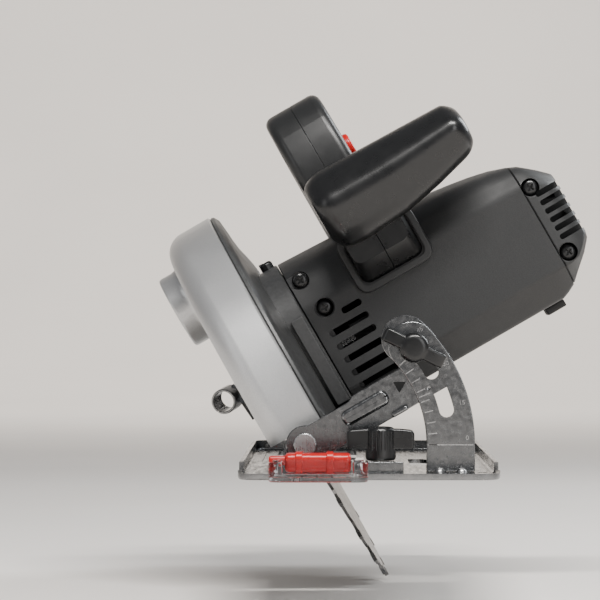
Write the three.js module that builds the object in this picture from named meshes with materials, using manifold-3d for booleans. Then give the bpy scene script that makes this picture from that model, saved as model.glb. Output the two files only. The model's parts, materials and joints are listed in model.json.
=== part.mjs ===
// Hand-held circular saw with a tilting, height-adjustable head on a pressed base.
// Millimetres. +X to the right of someone facing the front, +Y to the rear, +Z up.
// The origin is on the underside of the base, below the middle of its width.
//
// Two frames are used. The base frame is the world. The head frame turns with the bevel: its
// origin is on the bevel axis, its x runs along the blade spindle towards the motor, and its z
// runs up in the blade's plane. A place in it is written h, y, v.
import * as THREE from 'three';
import { mergeVertices } from 'three/addons/utils/BufferGeometryUtils.js';
import Module from 'manifold-3d';

const wasm = await Module();
wasm.setup();

// ---------------------------------------------------------------- driving dimensions
const rad = THREE.MathUtils.degToRad;
const GAP = 0.3;                    // clearance between neighbouring pieces
const WELD = 1e-3;
const BEVEL = 30;                   // degrees that the head leans at rest

const BLADE_R = 92.5;
const BLADE_T = 1.4;
const BLADE_H = -0.6;               // middle of the blade along the spindle
const TEETH = 24;
const SPINDLE = { y: 35, v: 14 };   // spindle axis in the head frame

const GUARD_R = BLADE_R + 8.5;      // outside of the fixed guard
const GUARD_WALL = 2.5;
const GUARD_OUT = -15.1;            // outer face of the fixed guard
const GUARD_IN = 11.3;              // seam with the gear case
const GUARD_ROUND = 9;
const GUARD_EDGE_V = 5.8;           // lower edge of the fixed guard
const ARCH_R = 30;                  // round clearance about the blade bolt
const PORT = { y: 71, v: 83.2, r: 18.7, wall: 3, end: -26.9 };

const LOWER_R = BLADE_R + 4.7;      // outside of the swinging guard
const LOWER_HALF = 7.4;             // half of the swinging guard's width
const LOWER_SHEET = 1.2;
const LOWER_START = 342;            // leading edge when fully retracted, degrees
const LOWER_SPAN = 152;
const LEVER = { dy: -40, dv: 20.5, h: -23.4, r: 6, bore: 4.8, half: 8 };

const BASE_HALF = 58;
const SHEET = 2;
const LIP = 7;
const FRONT_LIP = 2.9;
const BASE_FRONT = SPINDLE.y - GUARD_R - 59;
const BASE_REAR = SPINDLE.y + GUARD_R + 19;
const PIVOT = { x: -28.6, z: 14.2 };            // bevel axis, parallel to y
const WINDOW = { x0: -44, x1: -4.5, front: SPINDLE.y - GUARD_R + 1, rear: SPINDLE.y + GUARD_R + 1 };

const PLATE = 2.2;                               // thickness of the bevel plates
const BRACKET_FRONT = SPINDLE.y - GUARD_R - 20.2;
const BRACKET_BACK = BRACKET_FRONT + PLATE;
const QUADRANT_BACK = BRACKET_FRONT - GAP;
const QUADRANT_FRONT = QUADRANT_BACK - PLATE;
const EAR_FRONT = BRACKET_BACK + GAP;
const EAR_BACK = EAR_FRONT + PLATE;
const ARC_R = 65.6;                              // radius of both bevel slots
const ARC_HALF = 10.9;
const BOLT_R = 2.8;
const SLOT_HALF = BOLT_R + 0.5;
const QUADRANT_TIP = 42.8;
const BRACKET_TIP = 16.4;
const BOLT_ANGLE = 41.8;                         // clamp bolt at rest, degrees above horizontal
const BOLT_SWING = { down: 28, up: 3 };
const HEAD_SWING = { down: 2, up: 12 };
const EYE_R = 8.6;
const PIVOT_PIN_R = 3.2;

const DEPTH_PIN = { y: SPINDLE.y - GUARD_R + 4, v: -3.5, r: 3 };
const DEPTH_EAR_R = 6;
const DEPTH_EARS = [14.4, 44.6];                 // middle of each fork ear along the pin
const DEPTH_TRAVEL = 35;
const DEPTH_ARC = { r: GUARD_R + 29.5, half: 6.2, start: 3, h: 20.3 };

const MODULE = 0.9;
const GEAR_TEETH = 40;
const PINION_TEETH = 10;
const MESH_ANGLE = 132.5;                        // direction from the spindle to the motor axis
const CENTRES = MODULE * (GEAR_TEETH + PINION_TEETH) / 2;
const MOTOR = {
  y: SPINDLE.y + CENTRES * Math.cos(rad(MESH_ANGLE)), v: SPINDLE.v + CENTRES * Math.sin(rad(MESH_ANGLE)),
};
const DOME = 19.2;                               // inner face of the gear chamber
const CASE_END = 28.3;                           // seam of gear case and motor housing
const CASE_WALL = 2.5;
const HOUSING_END = 146;
const CAP_END = HOUSING_END + 17;
const HOUSING = { y0: MOTOR.y - 36, y1: MOTOR.y + 36, v0: MOTOR.v - 34.4, round: 12 };
const HOUSING_TOP = { gear: 78.4, crest: 73.2, cap: 64.5, crestShare: 0.6 };
const HOUSING_WALL = 2.5;

const HANDLE = { h0: 57, h1: 86.4, wall: 3 };
const FENCE = { x: 5.3, y: BASE_FRONT + 20, bar: 16, barT: 3.4 };

// ---------------------------------------------------------------- colours
function finish(colour, roughness, metalness) {
  return new THREE.MeshStandardMaterial({ color: colour, roughness, metalness });
}
const SILVER = finish('#d2d3d4', 0.45, 0.5);
const ZINC = finish('#8f9396', 0.35, 0.9);
const STEEL = finish('#a9abad', 0.3, 1.0);
const BLADE_STEEL = finish('#9a9c9e', 0.28, 1.0);
const BLACK_CAST = finish('#3a3a3c', 0.6, 0.2);
const HOUSING_PLASTIC = finish('#404143', 0.7, 0.0);
const HANDLE_PLASTIC = finish('#3c3f42', 0.65, 0.0);
const SATIN_BLACK = finish('#26272a', 0.35, 0.0);
const RED = finish('#e0201c', 0.35, 0.0);
const CLEAR = finish('#e8eef0', 0.08, 0.0);
const COPPER = finish('#b06a3a', 0.4, 0.9);
const LAMINATION = finish('#6b6d70', 0.5, 0.8);
const RUBBER = finish('#1c1c1d', 0.9, 0.0);

// ---------------------------------------------------------------- solids
function welded(geometry) {
  const bare = geometry.clone();
  bare.deleteAttribute('normal');
  bare.deleteAttribute('uv');
  const merged = mergeVertices(bare, WELD);
  const index = merged.index.array;
  const faces = [];
  for (let i = 0; i < index.length; i += 3) {
    const [a, b, c] = [index[i], index[i + 1], index[i + 2]];
    if (a !== b && b !== c && c !== a) {
      faces.push([a, b, c]);
    }
  }
  const positions = merged.attributes.position;
  const corner = (i) => new THREE.Vector3().fromBufferAttribute(positions, i);
  let volume = 0;
  for (const [a, b, c] of faces) {
    volume += corner(a).dot(corner(b).cross(corner(c)));
  }
  const outward = volume > 0 ? faces : faces.map(([a, b, c]) => [a, c, b]);
  const result = new THREE.BufferGeometry();
  result.setAttribute('position', positions);
  result.setIndex(outward.flat());
  return result;
}

function solidOf(geometry) {
  const clean = welded(geometry);
  return new wasm.Manifold(new wasm.Mesh({
    numProp: 3,
    vertProperties: new Float32Array(clean.attributes.position.array),
    triVerts: new Uint32Array(clean.index.array),
  }));
}

function geometryOf(solid) {
  const mesh = solid.getMesh();
  const geometry = new THREE.BufferGeometry();
  geometry.setAttribute('position', new THREE.BufferAttribute(mesh.vertProperties, 3));
  geometry.setIndex(new THREE.BufferAttribute(mesh.triVerts, 1));
  return geometry;
}

function join(first, ...others) {
  return geometryOf(others.reduce((sum, other) => sum.add(solidOf(other)), solidOf(first)));
}

function cut(body, ...tools) {
  return geometryOf(tools.reduce((rest, tool) => rest.subtract(solidOf(tool)), solidOf(body)));
}

function clip(body, keep) {
  return geometryOf(solidOf(body).intersect(solidOf(keep)));
}

// ---------------------------------------------------------------- outlines
function polar(centre, radius, degrees) {
  return [centre[0] + radius * Math.cos(rad(degrees)), centre[1] + radius * Math.sin(rad(degrees))];
}

/** A closed outline through [x, y, round] corners; a corner's third number rounds it. */
function outline(corners) {
  const shape = new THREE.Shape();
  const count = corners.length;
  corners.forEach(([x, y, round = 0], i) => {
    const here = new THREE.Vector2(x, y);
    const towards = (j) => new THREE.Vector2(corners[j][0], corners[j][1]).sub(here);
    const back = towards((i + count - 1) % count);
    const on = towards((i + 1) % count);
    const start = here.clone().add(back.setLength(Math.min(round, back.length() / 2)));
    const end = here.clone().add(on.setLength(Math.min(round, on.length() / 2)));
    if (i === 0) {
      shape.moveTo(start.x, start.y);
    } else {
      shape.lineTo(start.x, start.y);
    }
    if (round > 0) {
      shape.quadraticCurveTo(here.x, here.y, end.x, end.y);
    }
  });
  shape.closePath();
  return shape;
}

/** Moves each side of a counter-clockwise corner list inwards by a wall. */
function inset(corners, wall) {
  const count = corners.length;
  const side = (i) => {
    const [ax, ay] = corners[i % count];
    const [bx, by] = corners[(i + 1) % count];
    return new THREE.Vector2(bx - ax, by - ay).normalize();
  };
  return corners.map(([x, y, round = 0], i) => {
    const before = side(i + count - 1);
    const after = side(i);
    const turn = before.x * after.y - before.y * after.x;
    const along = wall * (1 - before.dot(after)) / turn;
    return [x - wall * after.y + along * after.x, y + wall * after.x + along * after.y,
      Math.max(0, round - Math.sign(turn) * wall)];
  });
}

function rectangle(x0, y0, x1, y1, round = 0) {
  return outline([[x0, y0, round], [x1, y0, round], [x1, y1, round], [x0, y1, round]]);
}

function disc(centre, radius) {
  const shape = new THREE.Shape();
  shape.absarc(centre[0], centre[1], radius, 0, 2 * Math.PI);
  return shape;
}

/** A band along an arc with round ends, or the slot of that form. */
function band(centre, radius, half, from, to) {
  const shape = new THREE.Shape();
  shape.absarc(centre[0], centre[1], radius + half, rad(from), rad(to));
  shape.absarc(...polar(centre, radius, to), half, rad(to), rad(to + 180));
  shape.absarc(centre[0], centre[1], radius - half, rad(to), rad(from), true);
  shape.absarc(...polar(centre, radius, from), half, rad(from + 180), rad(from + 360));
  return shape;
}

/** A pie slice, wide enough to clip a ring to the span of degrees. */
function slice(centre, radius, from, to) {
  const shape = new THREE.Shape();
  shape.moveTo(centre[0], centre[1]);
  shape.absarc(centre[0], centre[1], radius, rad(from), rad(to));
  shape.closePath();
  return shape;
}

// ---------------------------------------------------------------- pieces of metal
function prism(shape, length, matrix, steps) {
  const geometry = new THREE.ExtrudeGeometry(shape, {
    depth: length, bevelEnabled: false, curveSegments: steps,
  });
  return geometry.applyMatrix4(matrix);
}

/** An outline of (y, z) pairs carried along x. */
function alongX(shape, x0, x1, steps = 4) {
  const turn = new THREE.Matrix4().makeBasis(
    new THREE.Vector3(0, 1, 0), new THREE.Vector3(0, 0, 1), new THREE.Vector3(1, 0, 0));
  return prism(shape, x1 - x0, turn.setPosition(x0, 0, 0), steps);
}

/** An outline of (x, z) pairs carried along y. */
function alongY(shape, y0, y1, steps = 4) {
  const turn = new THREE.Matrix4().makeBasis(
    new THREE.Vector3(1, 0, 0), new THREE.Vector3(0, 0, 1), new THREE.Vector3(0, -1, 0));
  return prism(shape, y1 - y0, turn.setPosition(0, y1, 0), steps);
}

/** An outline of (x, y) pairs carried along z. */
function alongZ(shape, z0, z1, steps = 4) {
  return prism(shape, z1 - z0, new THREE.Matrix4().setPosition(0, 0, z0), steps);
}

function block(x0, x1, y0, y1, z0, z1) {
  const box = new THREE.BoxGeometry(x1 - x0, y1 - y0, z1 - z0);
  return box.translate((x0 + x1) / 2, (y0 + y1) / 2, (z0 + z1) / 2);
}

function lathe(profile, segments) {
  const closed = profile[0][1] > 0 ? [...profile, profile[0]] : profile;
  const points = closed.map(([along, radius]) => new THREE.Vector2(radius, along));
  return new THREE.LatheGeometry(points, segments);
}

/** Turned about an axis along x through (y, z); the profile lists [along, radius]. */
function turnedX(profile, y, z, segments = 12) {
  const turn = new THREE.Matrix4().makeBasis(
    new THREE.Vector3(0, 0, 1), new THREE.Vector3(1, 0, 0), new THREE.Vector3(0, 1, 0));
  return lathe(profile, segments).applyMatrix4(turn).translate(0, y, z);
}

function turnedY(profile, x, z, segments = 12) {
  return lathe(profile, segments).translate(x, 0, z);
}

function turnedZ(profile, x, y, segments = 12) {
  const turn = new THREE.Matrix4().makeBasis(
    new THREE.Vector3(1, 0, 0), new THREE.Vector3(0, 0, 1), new THREE.Vector3(0, -1, 0));
  return lathe(profile, segments).applyMatrix4(turn).translate(x, y, 0);
}

/** The profile of a plain round bar. */
function bar(from, to, radius) {
  return [[from, 0], [from, radius], [to, radius], [to, 0]];
}

/** The profile of a ring or sleeve. */
function sleeve(from, to, inner, outer) {
  return [[from, inner], [from, outer], [to, outer], [to, inner]];
}

/** A solid skinned over rings that each hold the same number of points. */
function skin(rings) {
  const count = rings[0].length;
  const positions = rings.flat().flatMap((point) => [point.x, point.y, point.z]);
  const faces = [];
  for (let ring = 0; ring + 1 < rings.length; ring += 1) {
    for (let i = 0; i < count; i += 1) {
      const a = ring * count + i;
      const b = ring * count + ((i + 1) % count);
      faces.push(a, b, a + count, b, b + count, a + count);
    }
  }
  const last = (rings.length - 1) * count;
  for (let i = 1; i + 1 < count; i += 1) {
    faces.push(0, i + 1, i);
    faces.push(last, last + i, last + i + 1);
  }
  const geometry = new THREE.BufferGeometry();
  geometry.setAttribute('position', new THREE.Float32BufferAttribute(positions, 3));
  geometry.setIndex(faces);
  return geometry;
}

/** A rounded rectangle across the spindle direction, as a ring of points. */
function sectionRing(h, y0, y1, v0, v1, round) {
  const fit = Math.min(round, (y1 - y0) / 2 - 0.5, (v1 - v0) / 2 - 0.5);
  const points = rectangle(y0, v0, y1, v1, fit).getPoints(2);
  const open = points.slice(0, -1).filter((p, i) => i === 0 || p.distanceTo(points[i - 1]) > WELD);
  return open.map((p) => new THREE.Vector3(h, p.x, p.y));
}

// ---------------------------------------------------------------- base
function basePlate() {
  const round = 9;
  const floor = alongZ(rectangle(-BASE_HALF, BASE_FRONT, BASE_HALF, BASE_REAR, round), 0, LIP, 3);
  const tray = alongZ(rectangle(-BASE_HALF + SHEET, BASE_FRONT + SHEET, BASE_HALF - SHEET,
    BASE_REAR - SHEET, round - SHEET), SHEET, LIP + 1, 3);
  const rise = 30;
  const frontDrop = alongX(outline([
    [BASE_FRONT - 1, FRONT_LIP], [BASE_FRONT + 5, FRONT_LIP],
    [BASE_FRONT + rise, LIP], [BASE_FRONT + rise, LIP + 1], [BASE_FRONT - 1, LIP + 1],
  ]), -BASE_HALF - 1, BASE_HALF + 1);
  const window = alongZ(
    rectangle(WINDOW.x0, WINDOW.front, WINDOW.x1, WINDOW.rear, 5), -1, SHEET + 1, 3);
  const slot = alongZ(rectangle(20, -19, 29, 43, 4), -1, SHEET + 1, 3);
  const notch = block(-BASE_HALF - 1, BASE_HALF + 1, FENCE.y - FENCE.bar / 2 - GAP,
    FENCE.y + FENCE.bar / 2 + GAP, SHEET, LIP + 2);
  const holes = [[30, FENCE.y], [51, FENCE.y + 12], [46, 90]].map(
    ([x, y]) => turnedZ(bar(-1, SHEET + 1, 2.5), x, y, 8));
  const shanks = RIVETS.map(([x, y]) => turnedZ(bar(-1, SHEET + 1, RIVET_R + GAP), x, y, 8));
  return cut(floor, tray, frontDrop, window, slot, notch, ...holes, ...shanks);
}

const FOOT = { x0: 26, x1: 47.8, deep: 13, z: SHEET + GAP, top: SHEET + GAP + PLATE };
const RIVET_R = 2;
const RIVETS = [
  [FOOT.x0 + 6, QUADRANT_BACK + FOOT.deep / 2],
  [FOOT.x1 - 6, QUADRANT_BACK + FOOT.deep / 2],
];

function rivet([x, y]) {
  return turnedZ([
    [GAP, 0], [GAP, RIVET_R], [FOOT.top + GAP, RIVET_R], [FOOT.top + GAP, RIVET_R + 1.6],
    [FOOT.top + 1.1, RIVET_R + 1.2], [FOOT.top + 1.9, 0],
  ], x, y, 8);
}

function bevelQuadrant() {
  const centre = [PIVOT.x, PIVOT.z];
  const tip = polar(centre, ARC_R, QUADRANT_TIP);
  const shape = new THREE.Shape();
  shape.moveTo(centre[0] + ARC_R - ARC_HALF, FOOT.z);
  shape.absarc(...centre, ARC_R - ARC_HALF, 0, rad(QUADRANT_TIP));
  shape.absarc(...tip, ARC_HALF, rad(QUADRANT_TIP + 180), rad(QUADRANT_TIP), true);
  shape.absarc(...centre, ARC_R + ARC_HALF, rad(QUADRANT_TIP), 0, true);
  shape.lineTo(centre[0] + ARC_R + ARC_HALF, FOOT.z);
  shape.closePath();
  const plate = alongY(shape, QUADRANT_FRONT, QUADRANT_BACK, 7);
  const foot = block(centre[0] + ARC_R - ARC_HALF, centre[0] + ARC_R + ARC_HALF,
    QUADRANT_FRONT, QUADRANT_BACK + FOOT.deep, FOOT.z, FOOT.top);
  const slot = alongY(band(centre, ARC_R, SLOT_HALF, BOLT_ANGLE - BOLT_SWING.down,
    BOLT_ANGLE + BOLT_SWING.up), QUADRANT_FRONT - 1, QUADRANT_BACK + 1, 6);
  const holes = RIVETS.map(([x, y]) => turnedZ(bar(0, FOOT.top + 1, RIVET_R + GAP), x, y, 8));
  return cut(join(plate, foot), slot, ...holes);
}

/** An upright ear with a round top about the bevel axis, and its foot on the base. */
function pivotEar(front, back, footFront, footBack) {
  const half = 12;
  const shape = new THREE.Shape();
  shape.moveTo(PIVOT.x - half, FOOT.z);
  shape.lineTo(PIVOT.x + half, FOOT.z);
  shape.absarc(PIVOT.x, PIVOT.z, EYE_R, 0, Math.PI);
  shape.closePath();
  const plate = alongY(shape, front, back, 10);
  const foot = block(PIVOT.x - half, PIVOT.x + half, footFront, footBack, FOOT.z, FOOT.top);
  const hole = turnedY(bar(front - 1, back + 1, PIVOT_PIN_R + GAP), PIVOT.x, PIVOT.z, 10);
  return cut(join(plate, foot), hole);
}

/** A headed pin through two plates, closed over at its far end. */
function headedPin(from, to, gripFrom, gripTo, radius) {
  return [[from, 0], [from, radius + 2], [gripFrom - GAP, radius + 2], [gripFrom - GAP, radius],
    [gripTo + GAP, radius], [gripTo + GAP, radius + 1.6], [to, radius + 1.6], [to, 0]];
}

function fenceBridge() {
  const half = FENCE.bar / 2 + GAP;
  const top = FOOT.z + FENCE.barT;
  const leg = 2;
  const shape = outline([
    [FENCE.y - half - leg, FOOT.z], [FENCE.y - half, FOOT.z], [FENCE.y - half, top],
    [FENCE.y + half, top], [FENCE.y + half, FOOT.z], [FENCE.y + half + leg, FOOT.z],
    [FENCE.y + half + leg, top + leg], [FENCE.y - half - leg, top + leg],
  ]);
  return alongX(shape, FENCE.x - 10, FENCE.x + 10);
}

const WING = { reach: 15, hub: 6.8, thick: 6.4 };

/** A two-winged knob along z with its seat at zero. */
function wingKnob(height, hubFoot) {
  const hub = turnedZ([[0, 0], [0, WING.hub], [height - 1.5, WING.hub], [height, WING.hub - 1.5],
    [height, 0]], 0, 0, 12);
  const wings = alongX(outline([
    [-WING.reach, hubFoot, 2], [WING.reach, hubFoot, 2],
    [WING.reach, height - 1.5, 3], [-WING.reach, height - 1.5, 3],
  ]), -WING.thick / 2, WING.thick / 2, 3);
  return join(hub, wings);
}

function fenceKnob() {
  const seat = FOOT.z + FENCE.barT + 2 + GAP;
  return wingKnob(15, 4.5).rotateZ(rad(90)).translate(FENCE.x, FENCE.y, seat);
}

const SIGHT = { x0: -44, x1: -0.5, reach: 27, wall: 2, top: 9 };

function sightWindow() {
  const front = BASE_FRONT - SIGHT.reach;
  const rear = BASE_FRONT - 1;
  const tray = alongZ(outline([
    [SIGHT.x0, front, 6], [SIGHT.x1, front, 6], [SIGHT.x1, rear, 1], [SIGHT.x0, rear, 1],
  ]), GAP, SIGHT.top, 3);
  const inside = alongZ(outline([
    [SIGHT.x0 + SIGHT.wall, front + SIGHT.wall, 4], [SIGHT.x1 - SIGHT.wall, front + SIGHT.wall, 4],
    [SIGHT.x1 - SIGHT.wall, rear + 1], [SIGHT.x0 + SIGHT.wall, rear + 1],
  ]), GAP + SIGHT.wall, SIGHT.top + 1, 3);
  const sill = block(CLIP.x0 - 1.5, CLIP.x1 + 1.5, front - 1, front + SIGHT.wall + 1, CLIP.z0, SIGHT.top + 1);
  return cut(tray, inside, sill);
}

const CLIP = { x0: -36.8, x1: -8, z0: 3.9, z1: 12.4, deep: 13 };

function sightClip() {
  const rear = BASE_FRONT - 3;
  const round = 2.5;
  const body = alongX(outline([
    [rear - CLIP.deep, CLIP.z0, round], [rear, CLIP.z0, round], [rear, CLIP.z1, round],
    [rear - CLIP.deep, CLIP.z1, round],
  ]), CLIP.x0, CLIP.x1, 3);
  const bands = [0.21, 0.68].map((share) => {
    const middle = CLIP.x0 + share * (CLIP.x1 - CLIP.x0);
    return alongX(outline([
      [rear - CLIP.deep - 0.6, CLIP.z0 - 0.6, round], [rear + 0.6, CLIP.z0 - 0.6, round],
      [rear + 0.6, CLIP.z1 + 0.6, round], [rear - CLIP.deep - 0.6, CLIP.z1 + 0.6, round],
    ]), middle - 1.6, middle + 1.6, 3);
  });
  const tongue = block(CLIP.x0 + 6, CLIP.x1 - 6, rear - 2, BASE_FRONT + 8, CLIP.z0, CLIP.z0 + 2);
  return join(body, ...bands, tongue);
}

// ---------------------------------------------------------------- bevel clamp
const BOLT_AT = polar([PIVOT.x, PIVOT.z], ARC_R, BOLT_ANGLE);
const KNOB_SEAT = QUADRANT_FRONT - GAP;
const KNOB_LENGTH = 15.5;

function bevelBolt() {
  const head = turnedY(bar(BRACKET_BACK + GAP, BRACKET_BACK + 4.3, 6), 0, 0, 6);
  const shank = turnedY(bar(KNOB_SEAT - KNOB_LENGTH + 4, BRACKET_BACK + 1, BOLT_R), 0, 0, 10);
  return join(head, shank).translate(BOLT_AT[0], 0, BOLT_AT[1]);
}

function bevelKnob() {
  const bore = turnedZ(bar(-1, KNOB_LENGTH - 4 + GAP, BOLT_R + GAP), 0, 0, 10);
  const knob = cut(wingKnob(KNOB_LENGTH, 4.5), bore);
  return knob.rotateZ(rad(90)).rotateX(rad(90)).rotateY(rad(26))
    .translate(BOLT_AT[0], KNOB_SEAT, BOLT_AT[1]);
}

// ---------------------------------------------------------------- tilting frame
function tiltBracket() {
  const centre = [0, 0];
  const lower = -9.4;
  const reach = polar(centre, ARC_R - ARC_HALF, 0)[0] + 3;
  const eye = alongY(disc(centre, EYE_R), BRACKET_FRONT, BRACKET_BACK, 16);
  const web = alongY(outline([
    [0, -EYE_R + 1], [10, lower], [reach, lower, 2], [reach, 8.4], [29, 8.4, 2], [27, 6.8, 2], [0, 6.8],
  ]), BRACKET_FRONT, BRACKET_BACK, 4);
  const arm = alongY(band(centre, ARC_R, ARC_HALF, 0, BRACKET_TIP), BRACKET_FRONT, BRACKET_BACK, 6);
  const rib = alongY(rectangle(20, -2.9, 43.6, 4.3, 3.6), BRACKET_FRONT - 1.6, BRACKET_FRONT + 1, 3);
  const tab = block(40.4, 48.6, BRACKET_FRONT - 6, BRACKET_FRONT + 1, lower, lower + 2.2);
  const ears = DEPTH_EARS.map((h) => {
    const tongue = alongX(outline([
      [BRACKET_FRONT + 1, lower + GAP], [DEPTH_PIN.y, lower + GAP],
      [DEPTH_PIN.y, DEPTH_PIN.v + DEPTH_EAR_R], [BRACKET_FRONT + 1, DEPTH_PIN.v + DEPTH_EAR_R],
    ]), h - PLATE / 2, h + PLATE / 2);
    const end = turnedX(bar(h - PLATE / 2, h + PLATE / 2, DEPTH_EAR_R), DEPTH_PIN.y, DEPTH_PIN.v, 12);
    return join(tongue, end);
  });
  const slot = alongY(band(centre, ARC_R, SLOT_HALF, BOLT_ANGLE - BEVEL - HEAD_SWING.up,
    BOLT_ANGLE - BEVEL + HEAD_SWING.down), BRACKET_FRONT - 1, BRACKET_BACK + 1, 5);
  const pointer = alongY(outline([[48.4, 4.6], [48.4, -1.2], [53.6, 1.8]]),
    BRACKET_FRONT - 1, BRACKET_BACK + 1);
  const pivotHole = turnedY(bar(BRACKET_FRONT - 1, BRACKET_BACK + 1, PIVOT_PIN_R + GAP), 0, 0, 10);
  const pinHole = turnedX(bar(0, 60, DEPTH_PIN.r + GAP), DEPTH_PIN.y, DEPTH_PIN.v, 10);
  const heel = block(reach, ARC_R + ARC_HALF, BRACKET_FRONT - 1, BRACKET_BACK + 1,
    lower - ARC_HALF, lower);
  return cut(join(web, eye, arm, rib, tab, ...ears), slot, heel, pointer, pivotHole, pinHole);
}

function depthHingePin() {
  const [near, far] = DEPTH_EARS;
  const half = PLATE / 2;
  return turnedX(headedPin(near - half - 1.4, far + half + 1.6, near - half, far + half, DEPTH_PIN.r),
    DEPTH_PIN.y, DEPTH_PIN.v, 10);
}

const REAR_PLATE = BASE_REAR - 11;
const ARC_END = DEPTH_ARC.start + DEPTH_TRAVEL;

function depthArc() {
  const centre = [DEPTH_PIN.y, DEPTH_PIN.v];
  const { r, half, h } = DEPTH_ARC;
  const h1 = h + PLATE;
  const arc = alongX(band(centre, r, half, 0, ARC_END), h, h1, 8);
  const lower = -8.4;
  const rail = block(h, h1, centre[0] + r - half, REAR_PLATE + PLATE, lower, 1.2);
  const end = alongY(outline([[0, -EYE_R + 0.6], [h1, lower], [h1, 1.2], [0, EYE_R - 0.6]]),
    REAR_PLATE, REAR_PLATE + PLATE);
  const eye = alongY(disc([0, 0], EYE_R), REAR_PLATE, REAR_PLATE + PLATE, 16);
  const slot = alongX(band(centre, r, SLOT_HALF, DEPTH_ARC.start, ARC_END), h - 1, h1 + 1, 8);
  const hole = turnedY(bar(REAR_PLATE - 1, REAR_PLATE + PLATE + 1, PIVOT_PIN_R + GAP), 0, 0, 10);
  return cut(join(arc, rail, end, eye), slot, hole);
}

// ---------------------------------------------------------------- guards and blade
/** A quarter round of [along, radius] points from the side of a drum to its rim. */
function shoulder(side, rim, round, steps) {
  return Array.from({ length: steps + 1 }, (_, i) => {
    const turn = (i / steps) * Math.PI / 2;
    return [side + round * (1 - Math.sin(turn)), rim - round * (1 - Math.cos(turn))];
  });
}

function bladeGuard() {
  const innerRound = GUARD_ROUND - GUARD_WALL;
  const inner = shoulder(GUARD_OUT + GUARD_WALL, GUARD_R - GUARD_WALL, innerRound, 4).reverse();
  const profile = [
    [GUARD_IN, GUARD_R - GUARD_WALL], [GUARD_IN, GUARD_R],
    ...shoulder(GUARD_OUT, GUARD_R, GUARD_ROUND, 5),
    [GUARD_OUT, ARCH_R], [GUARD_OUT + GUARD_WALL, ARCH_R],
    ...inner,
  ];
  const drum = turnedX(profile, SPINDLE.y, SPINDLE.v, 40);
  const upper = block(GUARD_OUT - 1, GUARD_IN + 1, SPINDLE.y - GUARD_R - 1, SPINDLE.y + GUARD_R + 1,
    GUARD_EDGE_V, SPINDLE.v + GUARD_R + 1);
  const port = turnedX(bar(PORT.end, GUARD_OUT + 1, PORT.r), PORT.y, PORT.v, 18);
  const bore = turnedX(bar(PORT.end - 1, GUARD_OUT + GUARD_WALL + 1, PORT.r - PORT.wall),
    PORT.y, PORT.v, 18);
  return cut(join(clip(drum, upper), port), bore);
}

const NOSE_R = 17;

function lowerGuard() {
  const out = BLADE_H - LOWER_HALF;
  const inn = BLADE_H + LOWER_HALF;
  const round = 4;
  const bore = NOSE_R + GAP + 0.1;
  const profile = [
    [out, bore], ...shoulder(out, LOWER_R, round, 2).reverse(),
    [inn - round, LOWER_R], [inn, LOWER_R - round], [inn, bore], [inn - LOWER_SHEET, bore],
    [inn - LOWER_SHEET, LOWER_R - round - 0.4], [inn - round - 0.4, LOWER_R - LOWER_SHEET],
    ...shoulder(out + LOWER_SHEET, LOWER_R - LOWER_SHEET, round - LOWER_SHEET, 2),
    [out + LOWER_SHEET, bore],
  ];
  const drum = turnedX(profile, SPINDLE.y, SPINDLE.v, 36);
  const keep = alongX(slice([SPINDLE.y, SPINDLE.v], LOWER_R + 5, LOWER_START,
    LOWER_START + LOWER_SPAN), out - 1, inn + 1, 24);
  const hubs = [out, inn - LOWER_SHEET].map(
    (from) => turnedX(sleeve(from, from + LOWER_SHEET, bore, HUB_RING), SPINDLE.y, SPINDLE.v, 18));
  return join(clip(drum, keep), ...hubs);
}

const HUB_RING = 25;

function guardLever() {
  const face = BLADE_H - LOWER_HALF - GAP;
  const strip = 1.5;
  const half = 5.5;
  const reach = Math.hypot(LEVER.dy, LEVER.dv);
  const over = GUARD_OUT - 2;
  const foot = block(face - strip, face, -half, half, NOSE_R + 2, HUB_RING);
  const riser = block(over - strip, face, -half, half, HUB_RING - strip, HUB_RING);
  const arm = block(over - strip, over, -half, half, HUB_RING - strip, reach);
  const swing = Math.atan2(-LEVER.dy, LEVER.dv);
  const strap = join(foot, riser, arm).rotateX(swing).translate(0, SPINDLE.y, SPINDLE.v);
  const tube = turnedY(sleeve(-LEVER.half, LEVER.half, LEVER.bore, LEVER.r), 0, 0, 12)
    .rotateZ(rad(-14)).translate(LEVER.h, SPINDLE.y + LEVER.dy, SPINDLE.v + LEVER.dv);
  const bore = turnedY(bar(-LEVER.half - 1, LEVER.half + 1, LEVER.bore), 0, 0, 12)
    .rotateZ(rad(-14)).translate(LEVER.h, SPINDLE.y + LEVER.dy, SPINDLE.v + LEVER.dv);
  return cut(join(strap, tube), bore);
}

const FLANGE = { inner: 18, outer: 16, collar: 8, bolt: 3.7, thick: 3 };
const BLADE_OUT = BLADE_H - BLADE_T / 2;
const BLADE_IN = BLADE_H + BLADE_T / 2;

function sawBlade() {
  const pitch = 360 / TEETH;
  const centre = [SPINDLE.y, SPINDLE.v];
  const shape = new THREE.Shape();
  for (let tooth = 0; tooth < TEETH; tooth += 1) {
    const at = tooth * pitch;
    const points = [
      polar(centre, BLADE_R, at), polar(centre, BLADE_R - 1.2, at - 0.3 * pitch),
      polar(centre, BLADE_R - 3.4, at - 0.62 * pitch), polar(centre, BLADE_R - 7, at - 0.8 * pitch),
      polar(centre, BLADE_R - 6.6, at - 0.94 * pitch),
    ].reverse();
    points.forEach((point) => (
      shape.curves.length === 0 && tooth === 0 && point === points[0]
        ? shape.moveTo(...point) : shape.lineTo(...point)));
  }
  shape.closePath();
  const plate = alongX(shape, BLADE_OUT, BLADE_IN);
  const bore = turnedX(bar(BLADE_OUT - 1, BLADE_IN + 1, FLANGE.collar + GAP), ...centre, 14);
  return cut(plate, bore);
}

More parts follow.
